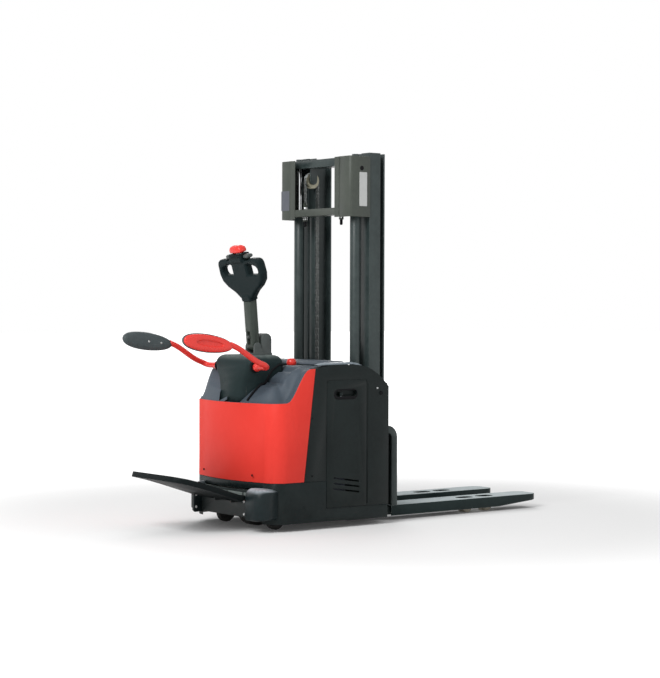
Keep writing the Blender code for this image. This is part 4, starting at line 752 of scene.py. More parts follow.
# console: raised rim along the red cover, rising beside the hood, with a shallow recess on the near side
consoleLook = dict(low=0.704, rearX=back(0.9985), lidX=back(0.5705), outerHalf=0.3935, rearCorner=0.094,
                   rearBow=0.040, riseStart=back(0.872), riseEnd=back(0.715), riseTop=0.888, riseOn=0.018,
                   band=0.034, bandStep=0.006, bandEase=0.008, bowl=0.085, lipDrop=0.004, lipEase=0.006,
                   innerRight=((-0.800, 0.704), (-0.750, 0.760), (-0.706, 0.800), (-0.672, 0.808),
                               (-0.636, 0.876), (-0.585, 0.910)),
                   innerLeft=((-0.862, 0.704), (-0.790, 0.780), (-0.750, 0.835), (-0.715, 0.886),
                              (-0.690, 0.907), (-0.585, 0.910)),
                   leftBowl=0.10, leftLift=0.014, liftX=-0.745, liftEase=0.05, liftHalf=0.24,
                   liftHalfEase=0.11, hollowFrom=-0.668, hollowFromEase=0.02, hollowTo=-0.560,
                   hollowToEase=0.03, hollowRim=0.085, hollowRimEase=0.025, hollowDepth=0.034,
                   seamX=back(0.6815), seamStep=0.0012, deckHalf=0.343, wall=0.0045, innerHalf=0.085,
                   rearGap=0.0006, rearRows=60, deckRows=12, crowd=1.4, columns=34, sillFrontX=-0.785,
                   sillZ=(0.6985, 0.7030), bridgeX=-0.500, bridgeZ=(0.9005, 0.9062))


def deckHeight(x, fromRim, side=-1):
    # outer profile at the rim, rising to the inner one beside the hood
    look = consoleLook
    start, end = look["riseStart"], look["riseEnd"]
    outer = look["low"] + (look["riseTop"] - look["low"]) * ease((x - start) / (end - start))
    outer += look["riseOn"] * ease((x - end) / (look["lidX"] - end))
    line = look["innerLeft"] if side > 0 else look["innerRight"]
    inner = line[-1][1]
    for (x0, z0), (x1, z1) in zip(line, line[1:]):
        if x < x1:
            inner = z0 + (z1 - z0) * max(0.0, (x - x0) / (x1 - x0))
            break
    inner = max(inner, outer)
    if side > 0:
        # the far facet rises straight from a lifted rim
        lift = look["leftLift"] * (1 - ease((x - look["liftX"]) / look["liftEase"]))
        lift *= ease((consoleHalf(x) - look["liftHalf"]) / look["liftHalfEase"])
        return max(outer + lift, outer + (inner - outer) * ease(fromRim / look["leftBowl"]))
    return outer + (inner - outer) * ease((fromRim - look["band"]) / look["bowl"])


def consoleHalf(x):
    # half width of the console's outer rim at a station
    look = consoleLook
    if x > look["seamX"]:
        return look["deckHalf"]
    cornerX = look["rearX"] + look["rearBow"] + look["rearCorner"]
    if x >= cornerX:
        return look["outerHalf"]
    flat = look["outerHalf"] - look["rearCorner"]
    fall = cornerX - x
    if fall <= look["rearCorner"]:
        return flat + math.sqrt(max(0.0, look["rearCorner"] ** 2 - fall ** 2))
    left = min(1.0, (fall - look["rearCorner"]) / look["rearBow"])
    return flat * math.sqrt(max(0.0, 1 - left)) + 0.004


def topHeight(x, fromRim, side):
    # the rim band stands proud of the bowl, and a recess lies beside the hood on the near side
    look = consoleLook
    z = deckHeight(x, fromRim, side)
    z -= look["bandStep"] * ease((fromRim - look["band"]) / look["bandEase"])
    hollow = ease((x - look["hollowFrom"]) / look["hollowFromEase"])
    hollow *= 1 - ease((x - look["hollowTo"]) / look["hollowToEase"])
    hollow *= ease((fromRim - look["hollowRim"]) / look["hollowRimEase"]) * (side < 0)
    return z - look["hollowDepth"] * hollow


def makeConsole():
    look = consoleLook
    rearX, seamX, lidX = look["rearX"], look["seamX"], look["lidX"]
    innerHalf, columns = look["innerHalf"], look["columns"]
    rear = rearX + look["rearGap"]
    stations = [rear + (seamX - rearX - look["rearGap"]) * ((i / look["rearRows"]) ** look["crowd"])
                for i in range(look["rearRows"] + 1)]
    stations.append(seamX + look["seamStep"])
    stations += [seamX + (lidX - seamX) * k / look["deckRows"] for k in range(1, look["deckRows"] + 1)]
    for name, side in (("left", 1), ("right", -1)):
        work = bmesh.new()
        rows = []
        for x in stations:
            half = consoleHalf(x)
            row = []
            for k in range(columns + 1):
                share = k / columns
                y = half + (innerHalf - half) * share if half > innerHalf else half * (1 - share)
                if side > 0 and k == 0:
                    z = look["low"] - 0.001
                else:
                    lip = look["lipDrop"] * (1 - ease((half - y) / look["lipEase"]))
                    z = topHeight(x, half - y, side) - lip
                row.append(Vector((x, side * y, z)))
            rows.append(row)
        under = [[point - Vector((0, 0, look["wall"])) for point in row] for row in rows]
        top = [[work.verts.new(point) for point in row] for row in rows]
        low = [[work.verts.new(point) for point in row] for row in under]
        for i in range(len(rows) - 1):
            for k in range(columns):
                work.faces.new((top[i][k], top[i][k + 1], top[i + 1][k + 1], top[i + 1][k]))
                work.faces.new((low[i][k], low[i + 1][k], low[i + 1][k + 1], low[i][k + 1]))
        last = len(rows) - 1
        rim = [(i, 0) for i in range(last + 1)] + [(last, k) for k in range(1, columns + 1)]
        rim += [(i, columns) for i in range(last - 1, -1, -1)] + [(0, k) for k in range(columns - 1, 0, -1)]
        for (i, k), (j, m) in zip(rim, rim[1:] + rim[:1]):
            work.faces.new((top[i][k], top[j][m], low[j][m], low[i][k]))
        bmesh.ops.remove_doubles(work, verts=work.verts, dist=0.00001)
        shell = makePiece("console_" + name, work, "consolePlastic", "chassis")
        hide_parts("console")
    work = bmesh.new()
    (sillLow, sillHigh), (bridgeLow, bridgeHigh) = look["sillZ"], look["bridgeZ"]
    sillHalf, bridgeHalf = innerHalf + 0.004, innerHalf - 0.0005
    addBlock(work, (rearX + 0.004, -sillHalf, sillLow), (look["sillFrontX"], sillHalf, sillHigh))
    addBlock(work, (look["bridgeX"], -bridgeHalf, bridgeLow), (lidX, bridgeHalf, bridgeHigh))
    makePiece("console_deck", work, "consolePlastic", "chassis", edge=0.001)


# hood: rounded shell round the tiller's foot, open at the top for the column
hoodLook = dict(low=0.700, high=0.9645, halfLow=0.156, halfHigh=0.180, rearLow=back(0.984),
                rearHigh=back(0.964), frontLow=back(0.712), frontHigh=back(0.728), corner=0.034,
                cornerLeast=0.010, cut=0.115, cutAcross=0.30, cutTop=0.905, cutFade=0.11,
                wallZ=(0.700, 0.745, 0.79, 0.835, 0.88, 0.916), shoulder=0.0485, shoulderDraw=0.9,
                wall=0.0045, holeX=back(0.80), holeRadius=0.098, holeLip=0.004, ringAt=0.756,
                ringLine=((0.0185, -0.006), (0.0185, 0.0045), (0.022, 0.0062), (0.030, 0.0052),
                          (0.0325, 0.0030), (0.0330, -0.006)),
                footStripFrom=0.012, footStripTo=0.018, footStripPoints=22, footStripRadius=0.0068, footStripProud=0.001)


def hoodHalf(t):
    return hoodLook["halfLow"] + (hoodLook["halfHigh"] - hoodLook["halfLow"]) * t


def hoodRing(z, inset):
    # plan of the hood at a height: a rounded box with the rear corners cut back further the lower they are
    look = hoodLook
    t = (z - look["low"]) / (look["high"] - look["low"])
    half = hoodHalf(t) - inset
    rear = look["rearLow"] + (look["rearHigh"] - look["rearLow"]) * t + inset
    front = look["frontLow"] + (look["frontHigh"] - look["frontLow"]) * t - inset
    radius = max(look["cornerLeast"], look["corner"] - inset * 0.35)
    ring = []
    for cornerX, cornerY, start in ((front, half, 0), (rear, half, 90), (rear, -half, 180),
                                    (front, -half, 270)):
        centreX = cornerX - math.copysign(radius, cornerX - (front + rear) / 2)
        centreY = cornerY - math.copysign(radius, cornerY)
        atRear = start in (90, 180) and inset == 0
        cutX = look["cut"] * ease((look["cutTop"] - z) / look["cutFade"]) if atRear else 0
        cutY = look["cutAcross"] * cutX
        for k, a in enumerate(quarter(6, start)):
            x, y = centreX + radius * math.cos(a), centreY + radius * math.sin(a)
            share = k / 6 if start == 90 else 1 - k / 6
            if cutX:
                x += cutX * (1 - share)
                y -= math.copysign(cutY * share, cornerY)
            ring.append(Vector((x, y, z)))
    return ring


def makeHood():
    look = hoodLook
    high, shoulder, hole = look["high"], look["shoulder"], look["holeRadius"]
    rim = hole + look["holeLip"]
    rings = [hoodRing(z, 0.0) for z in look["wallZ"]]
    for a in quarter(8)[1:]:
        rings.append(hoodRing(high - shoulder + shoulder * math.sin(a),
                              shoulder * (1 - math.cos(a)) * look["shoulderDraw"]))
    outer = rings[-1]
    centre = Vector((look["holeX"], 0, high))
    # from the top's edge to the round hole, and down its collar
    for share, radius, drop in ((0.5, rim, 0.0), (1.0, rim, -0.0006), (1.0, hole, -0.004),
                                (1.0, hole, -0.016)):
        ring = []
        for point in outer:
            flat = Vector((point.x - centre.x, point.y, 0))
            spot = point.lerp(centre + flat.normalized() * radius, share)
            ring.append(Vector((spot.x, spot.y, high + drop)))
        rings.append(ring)
    work = bmesh.new()
    addLoft(work, rings, closedEnds=False)
    hood = makePiece("hood_shell", work, "hoodPlastic", "chassis")
    wall = hood.modifiers.new("wall", "SOLIDIFY")
    wall.thickness = look["wall"]
    wall.offset = -1
    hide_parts("tiller_hood")
    # black bearing ring round each arm
    work = bmesh.new()
    face = hoodHalf(look["ringAt"])
    for side in (1, -1):
        rings = [[Vector((armLook["pivotX"] + radius * math.cos(a), side * (face + depth),
                          armLook["pivotZ"] + radius * math.sin(a))) for a in angles(28)]
                 for radius, depth in look["ringLine"]]
        addLoft(work, rings + [rings[0]], closedEnds=False)
    bmesh.ops.remove_doubles(work, verts=work.verts, dist=0.00001)
    makePiece("hood_arm_rings", work, "blackPartsAndPaintedShade", "chassis")
    # black strip where the hood stands on the near side of the console: the dark joint there, with painted
    # shade in it
    path = []
    start, count = look["rearLow"] + look["footStripFrom"], look["footStripPoints"]
    for k in range(count):
        x = start + (look["frontLow"] - look["footStripTo"] - look["rearLow"]) * k / (count - 1)
        z = deckHeight(x, 0.2)
        half = hoodHalf((z - look["low"]) / (high - look["low"]))
        path.append((x, -(half + look["footStripProud"]), z + look["footStripProud"]))
    work = bmesh.new()
    addTube(work, path, look["footStripRadius"], 8)
    makePiece("hood_foot_dark_strip", work, "blackPartsAndPaintedShade", "chassis")


makeConsole()
makeHood()
print("console and hood built")


# battery lid with a domed and ribbed top, and pale strips along both shoulders, coloured as painted
# reflection on the side panels' top flanges
lidLook = dict(rear=back(0.5685), front=back(0.4095), half=0.3425, low=0.9085, dome=0.930, rimStep=0.006,
               edge=0.012, rows=14, columns=40, ribHalf=0.25, ribPitch=0.05, ribHeight=0.0021,
               trimFrom=-0.470, trimTo=-0.165, trimY=0.371, trimHalf=0.0265, trimHeight=0.013, trimRows=24)


def shoulderHeight(x):
    # top line of the side panels
    dropStart, dropEnd = back(0.40), back(0.158)
    if x <= dropStart:
        return 0.911 + 0.002 * ease((x - dropStart + 0.2) / 0.2)
    return 0.909 - 0.125 * ((x - dropStart) / (dropEnd - dropStart)) ** 2.2


def makeLid():
    look = lidLook
    half, low, rows, columns = look["half"], look["low"], look["rows"], look["columns"]
    rings = []
    for i in range(rows + 1):
        x = look["rear"] + (look["front"] - look["rear"]) * i / rows
        endFall = min(1.0, min(i, rows - i) / 2.5)
        top = low + look["rimStep"] + (look["dome"] - low - look["rimStep"]) * ease(endFall)
        ring = []
        for k in range(columns + 1):
            y = -half + 2 * half * k / columns
            z = low + 0.002 + (top - low - 0.002) * ease(min(1.0, 0.25 + (half - abs(y)) / look["edge"]))
            wave = ease(math.sin((abs(y) % look["ribPitch"]) / look["ribPitch"] * math.pi))
            z += look["ribHeight"] * (abs(y) < look["ribHalf"]) * wave * ease(endFall * 0.8)
            ring.append(Vector((x, y, z)))
        rings.append(ring + [Vector((x, half, low)), Vector((x, -half, low))])
    work = bmesh.new()
    addLoft(work, rings)
    lid = makePiece("lid_shell", work, "consolePlastic", "battery_lid")
    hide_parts("battery_lid")
    rows = look["trimRows"]
    for name, side in (("left", 1), ("right", -1)):
        rings = []
        for i in range(rows + 1):
            x = look["trimFrom"] + (look["trimTo"] - look["trimFrom"]) * i / rows
            height = look["trimHeight"] * ease(min(i, rows - i) / 3 + 0.12)
            base = shoulderHeight(x) + 0.0004
            rings.append([Vector((x, side * (look["trimY"] + look["trimHalf"] * math.cos(a)),
                                  base + height * math.sin(a) ** 0.6))
                          for a in (math.pi * k / 8 for k in range(9))])
        work = bmesh.new()
        addLoft(work, rings)
        makePiece("shoulder_reflection_strip_" + name, work, "trimPaintedReflection", "chassis")


# head frame: along the tiller's head, as the reverse button and throttle lie on it
headLook = dict(base=Vector((back(0.843), 0, 1.275)), up=Vector((-0.2924, 0, 0.9563)),
                front=Vector((0.9563, 0, 0.2924)), podTop=0.272, capPower=0.62,
                # cap rings: (half depth, half width, height over the pod)
                capRings=((0.0110, 0.030, 0.0004), (0.0110, 0.030, 0.0048), (0.0270, 0.0490, 0.0052),
                          (0.0325, 0.0545, 0.0072), (0.0335, 0.0555, 0.0150), (0.0325, 0.0540, 0.0240),
                          (0.0295, 0.0500, 0.0330), (0.0240, 0.0420, 0.0400), (0.0165, 0.0300, 0.0440),
                          (0.0080, 0.0150, 0.0455)),
                ribTops=(0.004, 0.016), ribHalf=(0.0368, 0.0606), ribPowers=(0.5, 0.35),
                ribLine=((0.0, 0.0), (0.0022, -0.0012), (0.0022, -0.0034), (0.0, -0.0046)),
                throttleDrop=0.018, gripHalf=(0.0235, 0.0118), gripPowers=(0.7, 0.8), axleRadius=0.0072,
                axleHalf=0.07,
                gripLine=((0.62, 0.0640), (0.88, 0.0655), (1.0, 0.0700), (1.0, 0.0960), (0.90, 0.1015),
                          (0.60, 0.1040)),
                hornX=0.0198, hornZ=0.170,
                hornLine=((0.0100, 0), (0.0104, 0.0015), (0.0104, 0.0075), (0.0088, 0.0097),
                          (0.0030, 0.0101)),
                voxel=0.0024, smoothing=0.6, smoothSteps=7)


def headPoint(x, y, z):
    return headLook["base"] + headLook["front"] * x + Vector((0, y, 0)) + headLook["up"] * z


def makeHead():
    look = headLook
    top, power = look["podTop"], look["capPower"]
    work = bmesh.new()
    addLoft(work, [[headPoint(bulge(math.cos(a), power) * halfX, bulge(math.sin(a), power) * halfY, top + z)
                    for a in angles(40)] for halfX, halfY, z in look["capRings"]])
    button = makePiece("reverse_cap", work, "redPaint", "reverse_button")
    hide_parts("reverse_button")
    # ribbed collar under the button
    work = bmesh.new()
    (halfX, halfY), (powerX, powerY) = look["ribHalf"], look["ribPowers"]
    for drop in look["ribTops"]:
        addLoft(work, [[headPoint(bulge(math.cos(a), powerX) * (halfX + grow),
                                  bulge(math.sin(a), powerY) * (halfY + grow), top - drop + dz)
                        for a in angles(40)] for grow, dz in look["ribLine"]])
    makePiece("pod_ribs", work, "blackPlastic", "tiller")
    # thumb grips on one axle
    throttleZ = top - look["throttleDrop"]
    work = bmesh.new()
    (halfX, halfZ), (powerX, powerZ) = look["gripHalf"], look["gripPowers"]
    for side in (1, -1):
        addLoft(work, [[headPoint(bulge(math.cos(a), powerX) * halfX * share, side * depth,
                                  throttleZ + bulge(math.sin(a), powerZ) * halfZ * share)
                        for a in angles(24)] for share, depth in look["gripLine"]])
    axle = look["axleRadius"]
    addLoft(work, [[headPoint(axle * math.cos(a), y, throttleZ + axle * math.sin(a)) for a in angles(16)]
                   for y in (-look["axleHalf"], look["axleHalf"])])
    wings = makePiece("throttle_grips", work, "columnPaint", "throttle")
    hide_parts("throttle_wings")
    work = bmesh.new()
    addTurned(work, headPoint(look["hornX"], 0, look["hornZ"]), look["front"], look["hornLine"], 28)
    horn = makePiece("horn_cap", work, "gloveYellow", "horn_button")
    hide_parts("horn_button")
    # the head itself is softened all over
    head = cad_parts["tiller_head"]
    head.modifiers.clear()
    remesh = head.modifiers.new("remesh", "REMESH")
    remesh.mode = "VOXEL"
    remesh.voxel_size = look["voxel"]
    remesh.use_smooth_shade = True
    soften = head.modifiers.new("soften", "SMOOTH")
    soften.factor = look["smoothing"]
    soften.iterations = look["smoothSteps"]


# mast: anchor nuts, black discs as painted shade for the holes in the yoke, straps of the yoke, and the lift
# cylinders' glands
mastLook = dict(nutZ=((1.8005, 1), (1.7595, -1)), nutSize=0.024, hole=(-0.123, 0.3325, 2.021),
                holeLine=((0.0115, 0), (0.0130, 0.0004), (0.0130, 0.0012), (0.0110, 0.0014),
                          (0.0100, 0.0006)),
                studZ=1.750, studLine=((0.0085, 0), (0.0085, 0.040), (0.0065, 0.046)),
                strapX=(-0.2095, -0.2045), strapY=(0.190, 0.230), strapZ=(1.746, 2.088),
                gland=(-0.118, 0.267, 1.790),
                glandLine=((0.0300, -0.026), (0.0325, -0.022), (0.0325, -0.003), (0.0300, 0.001),
                           (0.0205, 0.003)))


def makeMastHardware():
    look = mastLook
    chainX, chainY = chainLook["rearX"], chainLook["y"]
    (lowX, highX), (lowZ, highZ) = look["strapX"], look["strapZ"]
    nuts, holes, straps, glands = bmesh.new(), bmesh.new(), bmesh.new(), bmesh.new()
    for side in (1, -1):
        for z, way in look["nutZ"]:
            addBolt(nuts, (chainX, side * chainY, z), (0, 0, way), look["nutSize"])
        x, y, z = look["hole"]
        # a black disc over each yoke hole: painted shade standing in for the hole's depth
        addTurned(holes, (x, side * y, z), (0, side, 0), look["holeLine"])
        addTurned(holes, (chainX, side * chainY, look["studZ"]), (0, 0, -1), look["studLine"], 16)
        lowY, highY = sorted(side * y for y in look["strapY"])
        addBlock(straps, (lowX, lowY, lowZ), (highX, highY, highZ))
        x, y, z = look["gland"]
        addTurned(glands, (x, side * y, z), (0, 0, 1), look["glandLine"], 28)
    makePiece("anchor_nuts", nuts, "paleSteel", "chassis")
    makePiece("yoke_hole_shades_and_studs", holes, "blackPartsAndPaintedShade", "chassis")
    makePiece("yoke_straps", straps, "yokePaint", "chassis", edge=0.001)
    makePiece("cylinder_glands", glands, "darkSteel", "chassis")


# blank plates where the mast's stickers go
plateShared = dict(corner=0.004, thick=0.0008, edge=0.0002)
plateLook = {
    "mast_plate_near": dict(finish="blankLabel", half=(0.0275, 0.096), place=(-0.1135, -0.3332, 1.902),
                            along=(1, 0, 0)),
    "mast_plate_far": dict(finish="darkLabel", half=(0.040, 0.058), place=(-0.2082, 0.284, 1.857),
                           along=(0, -1, 0)),
}


def makePlates():
    for name, look in plateLook.items():
        work = bmesh.new()
        addPlate(work, roundedBox(*look["half"], plateShared["corner"]), look["place"], look["along"],
                 (0, 0, 1), plateShared["thick"])
        makePiece(name, work, look["finish"], "chassis", edge=plateShared["edge"])


# body: cover screws, the side door's guard, latch and grip rim, and the hardware on both shoulders
bodyLook = dict(rearScrew=(-0.8105, 0.238, 0.308), rearRadius=0.0065, sideX=-0.52, sideY=0.4003,
                sideZ=(0.30, 0.62), sideRadius=0.005)
doorLook = dict(guardLow=(-0.1364, -0.3992, 0.1290), guardHigh=(-0.1256, -0.3966, 0.8130),
                latch=(-0.314, -0.3880, 0.744), latchHalf=(0.0050, 0.012), latchCorner=0.0025,
                latchThick=0.006, rimX=back(0.464), rimZ=0.752, outer=(0.0840, 0.0290),
                outerShift=(-0.004, -0.005), inner=(0.0762, 0.0172), faceY=0.4000, proudY=0.4012,
                sunkY=0.3990)
shoulderLook = dict(lug=(-0.030, 0.3955, 0.776), lugHalf=(0.046, 0.030), lugCorner=0.012, lugThick=0.008,
                    bolt=(-0.060, 0.3996, 0.776), boltSize=0.0085, ring=(-0.032, 0.3990, 0.748),
                    ringLine=((0.0095, 0), (0.0110, 0.002), (0.0110, 0.004), (0.0085, 0.0055),
                              (0.0055, 0.0042)))


def makeBodyHardware():
    look = bodyLook
    work = bmesh.new()
    x, y, z = look["rearScrew"]
    for side in (1, -1):
        addScrew(work, (x, side * y, z), (-1, 0, 0), look["rearRadius"])
    for side in (1, -1):
        for z in look["sideZ"]:
            addScrew(work, (look["sideX"], side * look["sideY"], z), (0, side, 0), look["sideRadius"])
    makePiece("cover_screws", work, "blackPartsAndPaintedShade", "chassis")
    look = doorLook
    work = bmesh.new()
    addBlock(work, look["guardLow"], look["guardHigh"])
    makePiece("door_guard", work, "panelPaint", "chassis")
    work = bmesh.new()
    addPlate(work, roundedBox(*look["latchHalf"], look["latchCorner"]), look["latch"], (1, 0, 0), (0, 0, 1),
             look["latchThick"])
    makePiece("door_latch", work, "greyPlastic", "side_door", edge=0.0006)
    shiftU, shiftV = look["outerShift"]
    outer = [(u + shiftU, v + shiftV) for u, v in stadiumLine(*look["outer"])]
    inner = stadiumLine(*look["inner"])
    face, proud, sunk = look["faceY"], look["proudY"], look["sunkY"]
    rings = [[Vector((look["rimX"] + u, -y, look["rimZ"] + v)) for u, v in points]
             for points, y in ((outer, face), (outer, proud), (inner, proud), (inner, sunk), (outer, sunk))]
    work = bmesh.new()
    addLoft(work, rings + [rings[0]], closedEnds=False)
    bmesh.ops.remove_doubles(work, verts=work.verts, dist=0.00001)
    makePiece("door_grip_rim", work, "blackPartsAndPaintedShade", "side_door")
    look = shoulderLook
    for name, side in (("left", 1), ("right", -1)):
        work = bmesh.new()
        x, y, z = look["lug"]
        addPlate(work, roundedBox(*look["lugHalf"], look["lugCorner"]),
                 (x, side * y - look["lugThick"] / 2, z), (1, 0, 0), (0, 0, 1), -look["lugThick"])
        makePiece("shoulder_lug_" + name, work, "panelPaint", "chassis", edge=0.0015)
        work = bmesh.new()
        x, y, z = look["bolt"]
        addBolt(work, (x, side * y, z), (0, side, 0), look["boltSize"])
        makePiece("shoulder_bolts_" + name, work, "paleSteel", "chassis")
        work = bmesh.new()
        x, y, z = look["ring"]
        addTurned(work, (x, side * y, z), (0, side, 0), look["ringLine"])
        makePiece("shoulder_rings_" + name, work, "blackPartsAndPaintedShade", "chassis")


# stop button: wide mushroom with a bevelled rim, as (radius, share of its height); and the tiller's slot bolt
stopLine = ((0.0105, 0), (0.0105, 0.36), (0.0230, 0.42), (0.0275, 0.52), (0.0282, 0.66), (0.0262, 0.82),
            (0.0205, 0.94), (0.0110, 0.99), (0.0030, 1))
stalkBolt = dict(place=(-0.6665, 0, 1.062), axis=(-1, 0, 0.09), size=0.015)


def makeControls():
    low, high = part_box("stop_button")
    centre = (low + high) / 2
    tall = high.z - low.z
    work = bmesh.new()
    addTurned(work, (centre.x, centre.y, low.z), (0, 0, 1),
              [(radius, tall * share) for radius, share in stopLine], 32)
    stop = makePiece("stop_cap", work, "redPaint", "stop_button")
    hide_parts("stop_button")
    work = bmesh.new()
    addBolt(work, stalkBolt["place"], stalkBolt["axis"], stalkBolt["size"])
    makePiece("stalk_bolt", work, "darkSteel", "tiller")


# rider platform hinge: rounded end caps, and the rail above the knuckles, light grey as a painted highlight
# of the barrel's lit top
hingeLook = dict(capFrom=0.2525, capTo=(0.302, 0.385), rear=-0.868, front=-0.742, low=0.066, high=0.240,
                 bend=0.046, corner=0.052, cornerDraw=0.9, chamfer=0.008, faceInset=0.0015, railX=-0.8168,
                 railLow=0.176, railTop=0.2228, railRound=0.019, railFlat=0.006, railWall=0.002,
                 railLip=0.004, railEnd=0.2505, railGaps=(-0.158, -0.004, 0.150), gapHalf=0.006,
                 boltX=-0.8625, boltY=0.236, boltZ=(0.1675, 0.0975), boltRadius=0.008)


def capSlice(y, inset):
    look = hingeLook
    rear, low, high = look["rear"] + inset, look["low"] + inset * 0.3, look["high"] - inset * 0.5
    bend, chamfer = look["bend"], look["chamfer"]
    line = [(look["front"], low), (rear + chamfer, low), (rear, low + chamfer)]
    for k in range(9):
        a = math.radians(180 - 90 * k / 8)
        line.append((rear + bend * (1 + math.cos(a)), high + bend * (math.sin(a) - 1)))
    return [Vector((x, y, z)) for x, z in line + [(look["front"], high)]]


def makeHinge():
    look = hingeLook
    start, inset = look["capFrom"], look["faceInset"]
    for name, side in (("left", 1), ("right", -1)):
        # the near cap reaches further out than the far one
        reach = look["capTo"][0 if side > 0 else 1]
        corner = min(look["corner"], reach - start - 0.004)
        rings = [capSlice(side * start, inset), capSlice(side * (start + inset), 0)]
        for a in quarter(8):
            rings.append(capSlice(side * (reach - corner + corner * math.sin(a)),
                                  corner * (1 - math.cos(a)) * look["cornerDraw"]))
        work = bmesh.new()
        addLoft(work, rings)
        makePiece("hinge_cap_" + name, work, "capPlastic", "chassis")
    x, low, top, bend = look["railX"], look["railLow"], look["railTop"], look["railRound"]
    line = [(x + look["railLip"], low), (x, low)]
    for k in range(8):
        a = math.radians(180 - 90 * k / 7)
        line.append((x + bend * (1 + math.cos(a)), top + bend * (math.sin(a) - 1)))
    flat = x + bend + look["railFlat"]
    line += [(flat, top), (flat, top - look["railWall"])]
    ends = [-look["railEnd"]]
    for gap in look["railGaps"]:
        ends += [gap - look["gapHalf"], gap + look["gapHalf"]]
    ends.append(look["railEnd"])
    work = bmesh.new()
    for first, last in zip(ends[::2], ends[1::2]):
        addLoft(work, [[Vector((x, y, z)) for x, z in line] for y in (first, last)])
    makePiece("hinge_rail", work, "barrelPaintedHighlight", "chassis", edge=0.0008)
    work = bmesh.new()
    for z in look["boltZ"]:
        for side in (1, -1):
            addScrew(work, (look["boltX"], side * look["boltY"], z), (-1, 0, 0), look["boltRadius"])
    makePiece("hinge_bolts", work, "paleSteel", "chassis")


makeLid()
makeHead()
makeMastHardware()
makePlates()
makeBodyHardware()
makeControls()
makeHinge()
print("lid, head, hardware and hinge built")


# stage, light and camera
stageLook = dict(floor=(0.83, 0.83, 0.83), reach=60, lift=0.035, fadeFrom=1.6, fadeTo=5.0, world=0.58,
                 aim=Vector((0, 0, 0.8)))
lampLook = {
    "key": dict(place=(-5.6, -2.2, 4.6), size=3.0, power=318),
    "fill": dict(place=(1.5, -6.0, 3.0), size=3.5, power=22),
    "rim": dict(place=(3.5, 4.5, 4.5), size=3.0, power=110),
}


def seenRay(tree, *kinds):
    # one for rays of the kinds named, which see the plain pale studio
    path = tree.nodes.new("ShaderNodeLightPath")
    seen = path.outputs[kinds[0]]
    for kind in kinds[1:]:
        seen = mathNode(tree, "MAXIMUM", seen, path.outputs[kind])
    return seen


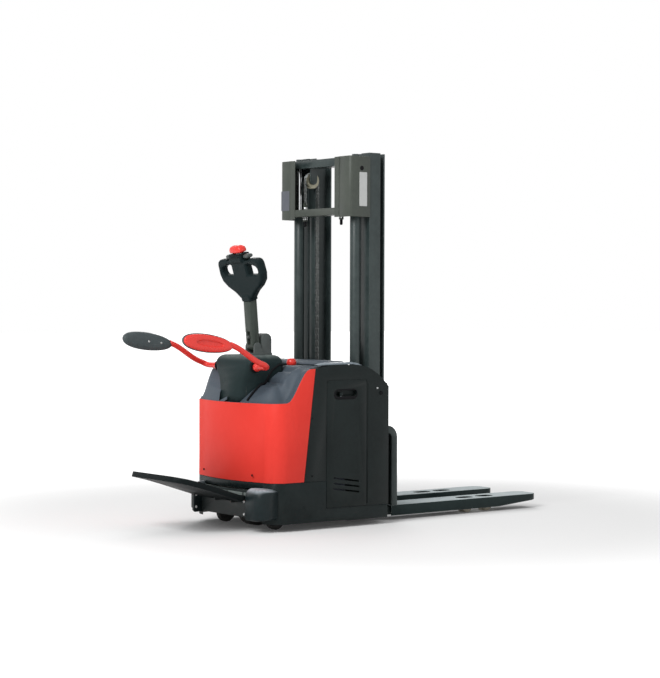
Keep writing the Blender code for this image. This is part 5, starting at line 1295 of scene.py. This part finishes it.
def makeStage():
    floorMesh = bpy.data.meshes.new("studioFloor")
    reach = stageLook["reach"]
    corners = [(-reach, -reach, 0), (reach, -reach, 0), (reach, reach, 0), (-reach, reach, 0)]
    floorMesh.from_pydata(corners, [], [(0, 1, 2, 3)])
    floor = bpy.data.objects.new("studioFloor", floorMesh)
    bpy.context.scene.collection.objects.link(floor)
    material = bpy.data.materials.new("studioFloor")
    material.use_nodes = True
    tree = material.node_tree
    tree.nodes.clear()
    output = tree.nodes.new("ShaderNodeOutputMaterial")
    diffuse = tree.nodes.new("ShaderNodeBsdfDiffuse")
    diffuse.inputs["Color"].default_value = (*stageLook["floor"], 1)
    glow = tree.nodes.new("ShaderNodeEmission")
    glow.inputs["Color"].default_value = (1, 1, 1, 1)
    coordinate = tree.nodes.new("ShaderNodeTexCoord")
    away = tree.nodes.new("ShaderNodeVectorMath")
    away.operation = "LENGTH"
    tree.links.new(coordinate.outputs["Object"], away.inputs[0])
    lift = rangeNode(tree, away.outputs["Value"], stageLook["fadeFrom"], stageLook["fadeTo"],
                     stageLook["lift"], 1.0)
    seen = seenRay(tree, "Is Camera Ray", "Is Glossy Ray")
    tree.links.new(mathNode(tree, "MULTIPLY", seen, lift), glow.inputs["Strength"])
    both = tree.nodes.new("ShaderNodeAddShader")
    tree.links.new(diffuse.outputs[0], both.inputs[0])
    tree.links.new(glow.outputs[0], both.inputs[1])
    tree.links.new(both.outputs[0], output.inputs["Surface"])
    floorMesh.materials.append(material)

    world = bpy.data.worlds.new("studio")
    bpy.context.scene.world = world
    world.use_nodes = True
    tree = world.node_tree
    tree.nodes.clear()
    output = tree.nodes.new("ShaderNodeOutputWorld")
    background = tree.nodes.new("ShaderNodeBackground")
    background.inputs["Color"].default_value = (1, 1, 1, 1)
    seen = seenRay(tree, "Is Camera Ray", "Is Glossy Ray", "Is Transmission Ray")
    extra = mathNode(tree, "MULTIPLY", seen, 1.0 - stageLook["world"])
    tree.links.new(mathNode(tree, "ADD", extra, stageLook["world"]), background.inputs["Strength"])
    tree.links.new(background.outputs[0], output.inputs["Surface"])

    for name, look in lampLook.items():
        lamp = bpy.data.lights.new(name, "AREA")
        lamp.energy = look["power"]
        lamp.size = look["size"]
        holder = bpy.data.objects.new(name, lamp)
        holder.location = look["place"]
        holder.rotation_euler = (stageLook["aim"] - Vector(look["place"])).to_track_quat("-Z", "Y").to_euler()
        bpy.context.scene.collection.objects.link(holder)


# camera angles in degrees
cameraLook = dict(heading=52.442, pitch=1.0576, roll=0.1840, place=(back(6.8100), -8.5010, 1.2451),
                  lens=97.79, sensor=36, clip=200)


def makeCamera():
    heading, pitch, roll = (math.radians(cameraLook[key]) for key in ("heading", "pitch", "roll"))
    ahead = Vector((math.cos(heading), math.sin(heading), 0))
    across = Vector((math.sin(heading), -math.cos(heading), 0))
    sight = ahead * math.cos(pitch) - Vector((0, 0, math.sin(pitch)))
    above = ahead * math.sin(pitch) + Vector((0, 0, math.cos(pitch)))
    right = across * math.cos(roll) + above * math.sin(roll)
    upward = above * math.cos(roll) - across * math.sin(roll)
    turn = Matrix((right, upward, -sight)).transposed()
    camera = bpy.data.objects.new("camera", bpy.data.cameras.new("camera"))
    camera.data.lens = cameraLook["lens"]
    camera.data.sensor_width = cameraLook["sensor"]
    camera.data.clip_end = cameraLook["clip"]
    camera.matrix_world = Matrix.Translation(Vector(cameraLook["place"])) @ turn.to_4x4()
    bpy.context.scene.collection.objects.link(camera)
    bpy.context.scene.camera = camera


makeStage()
makeCamera()
bpy.context.scene.view_settings.view_transform = "Standard"
print("stage, lamps and camera set")
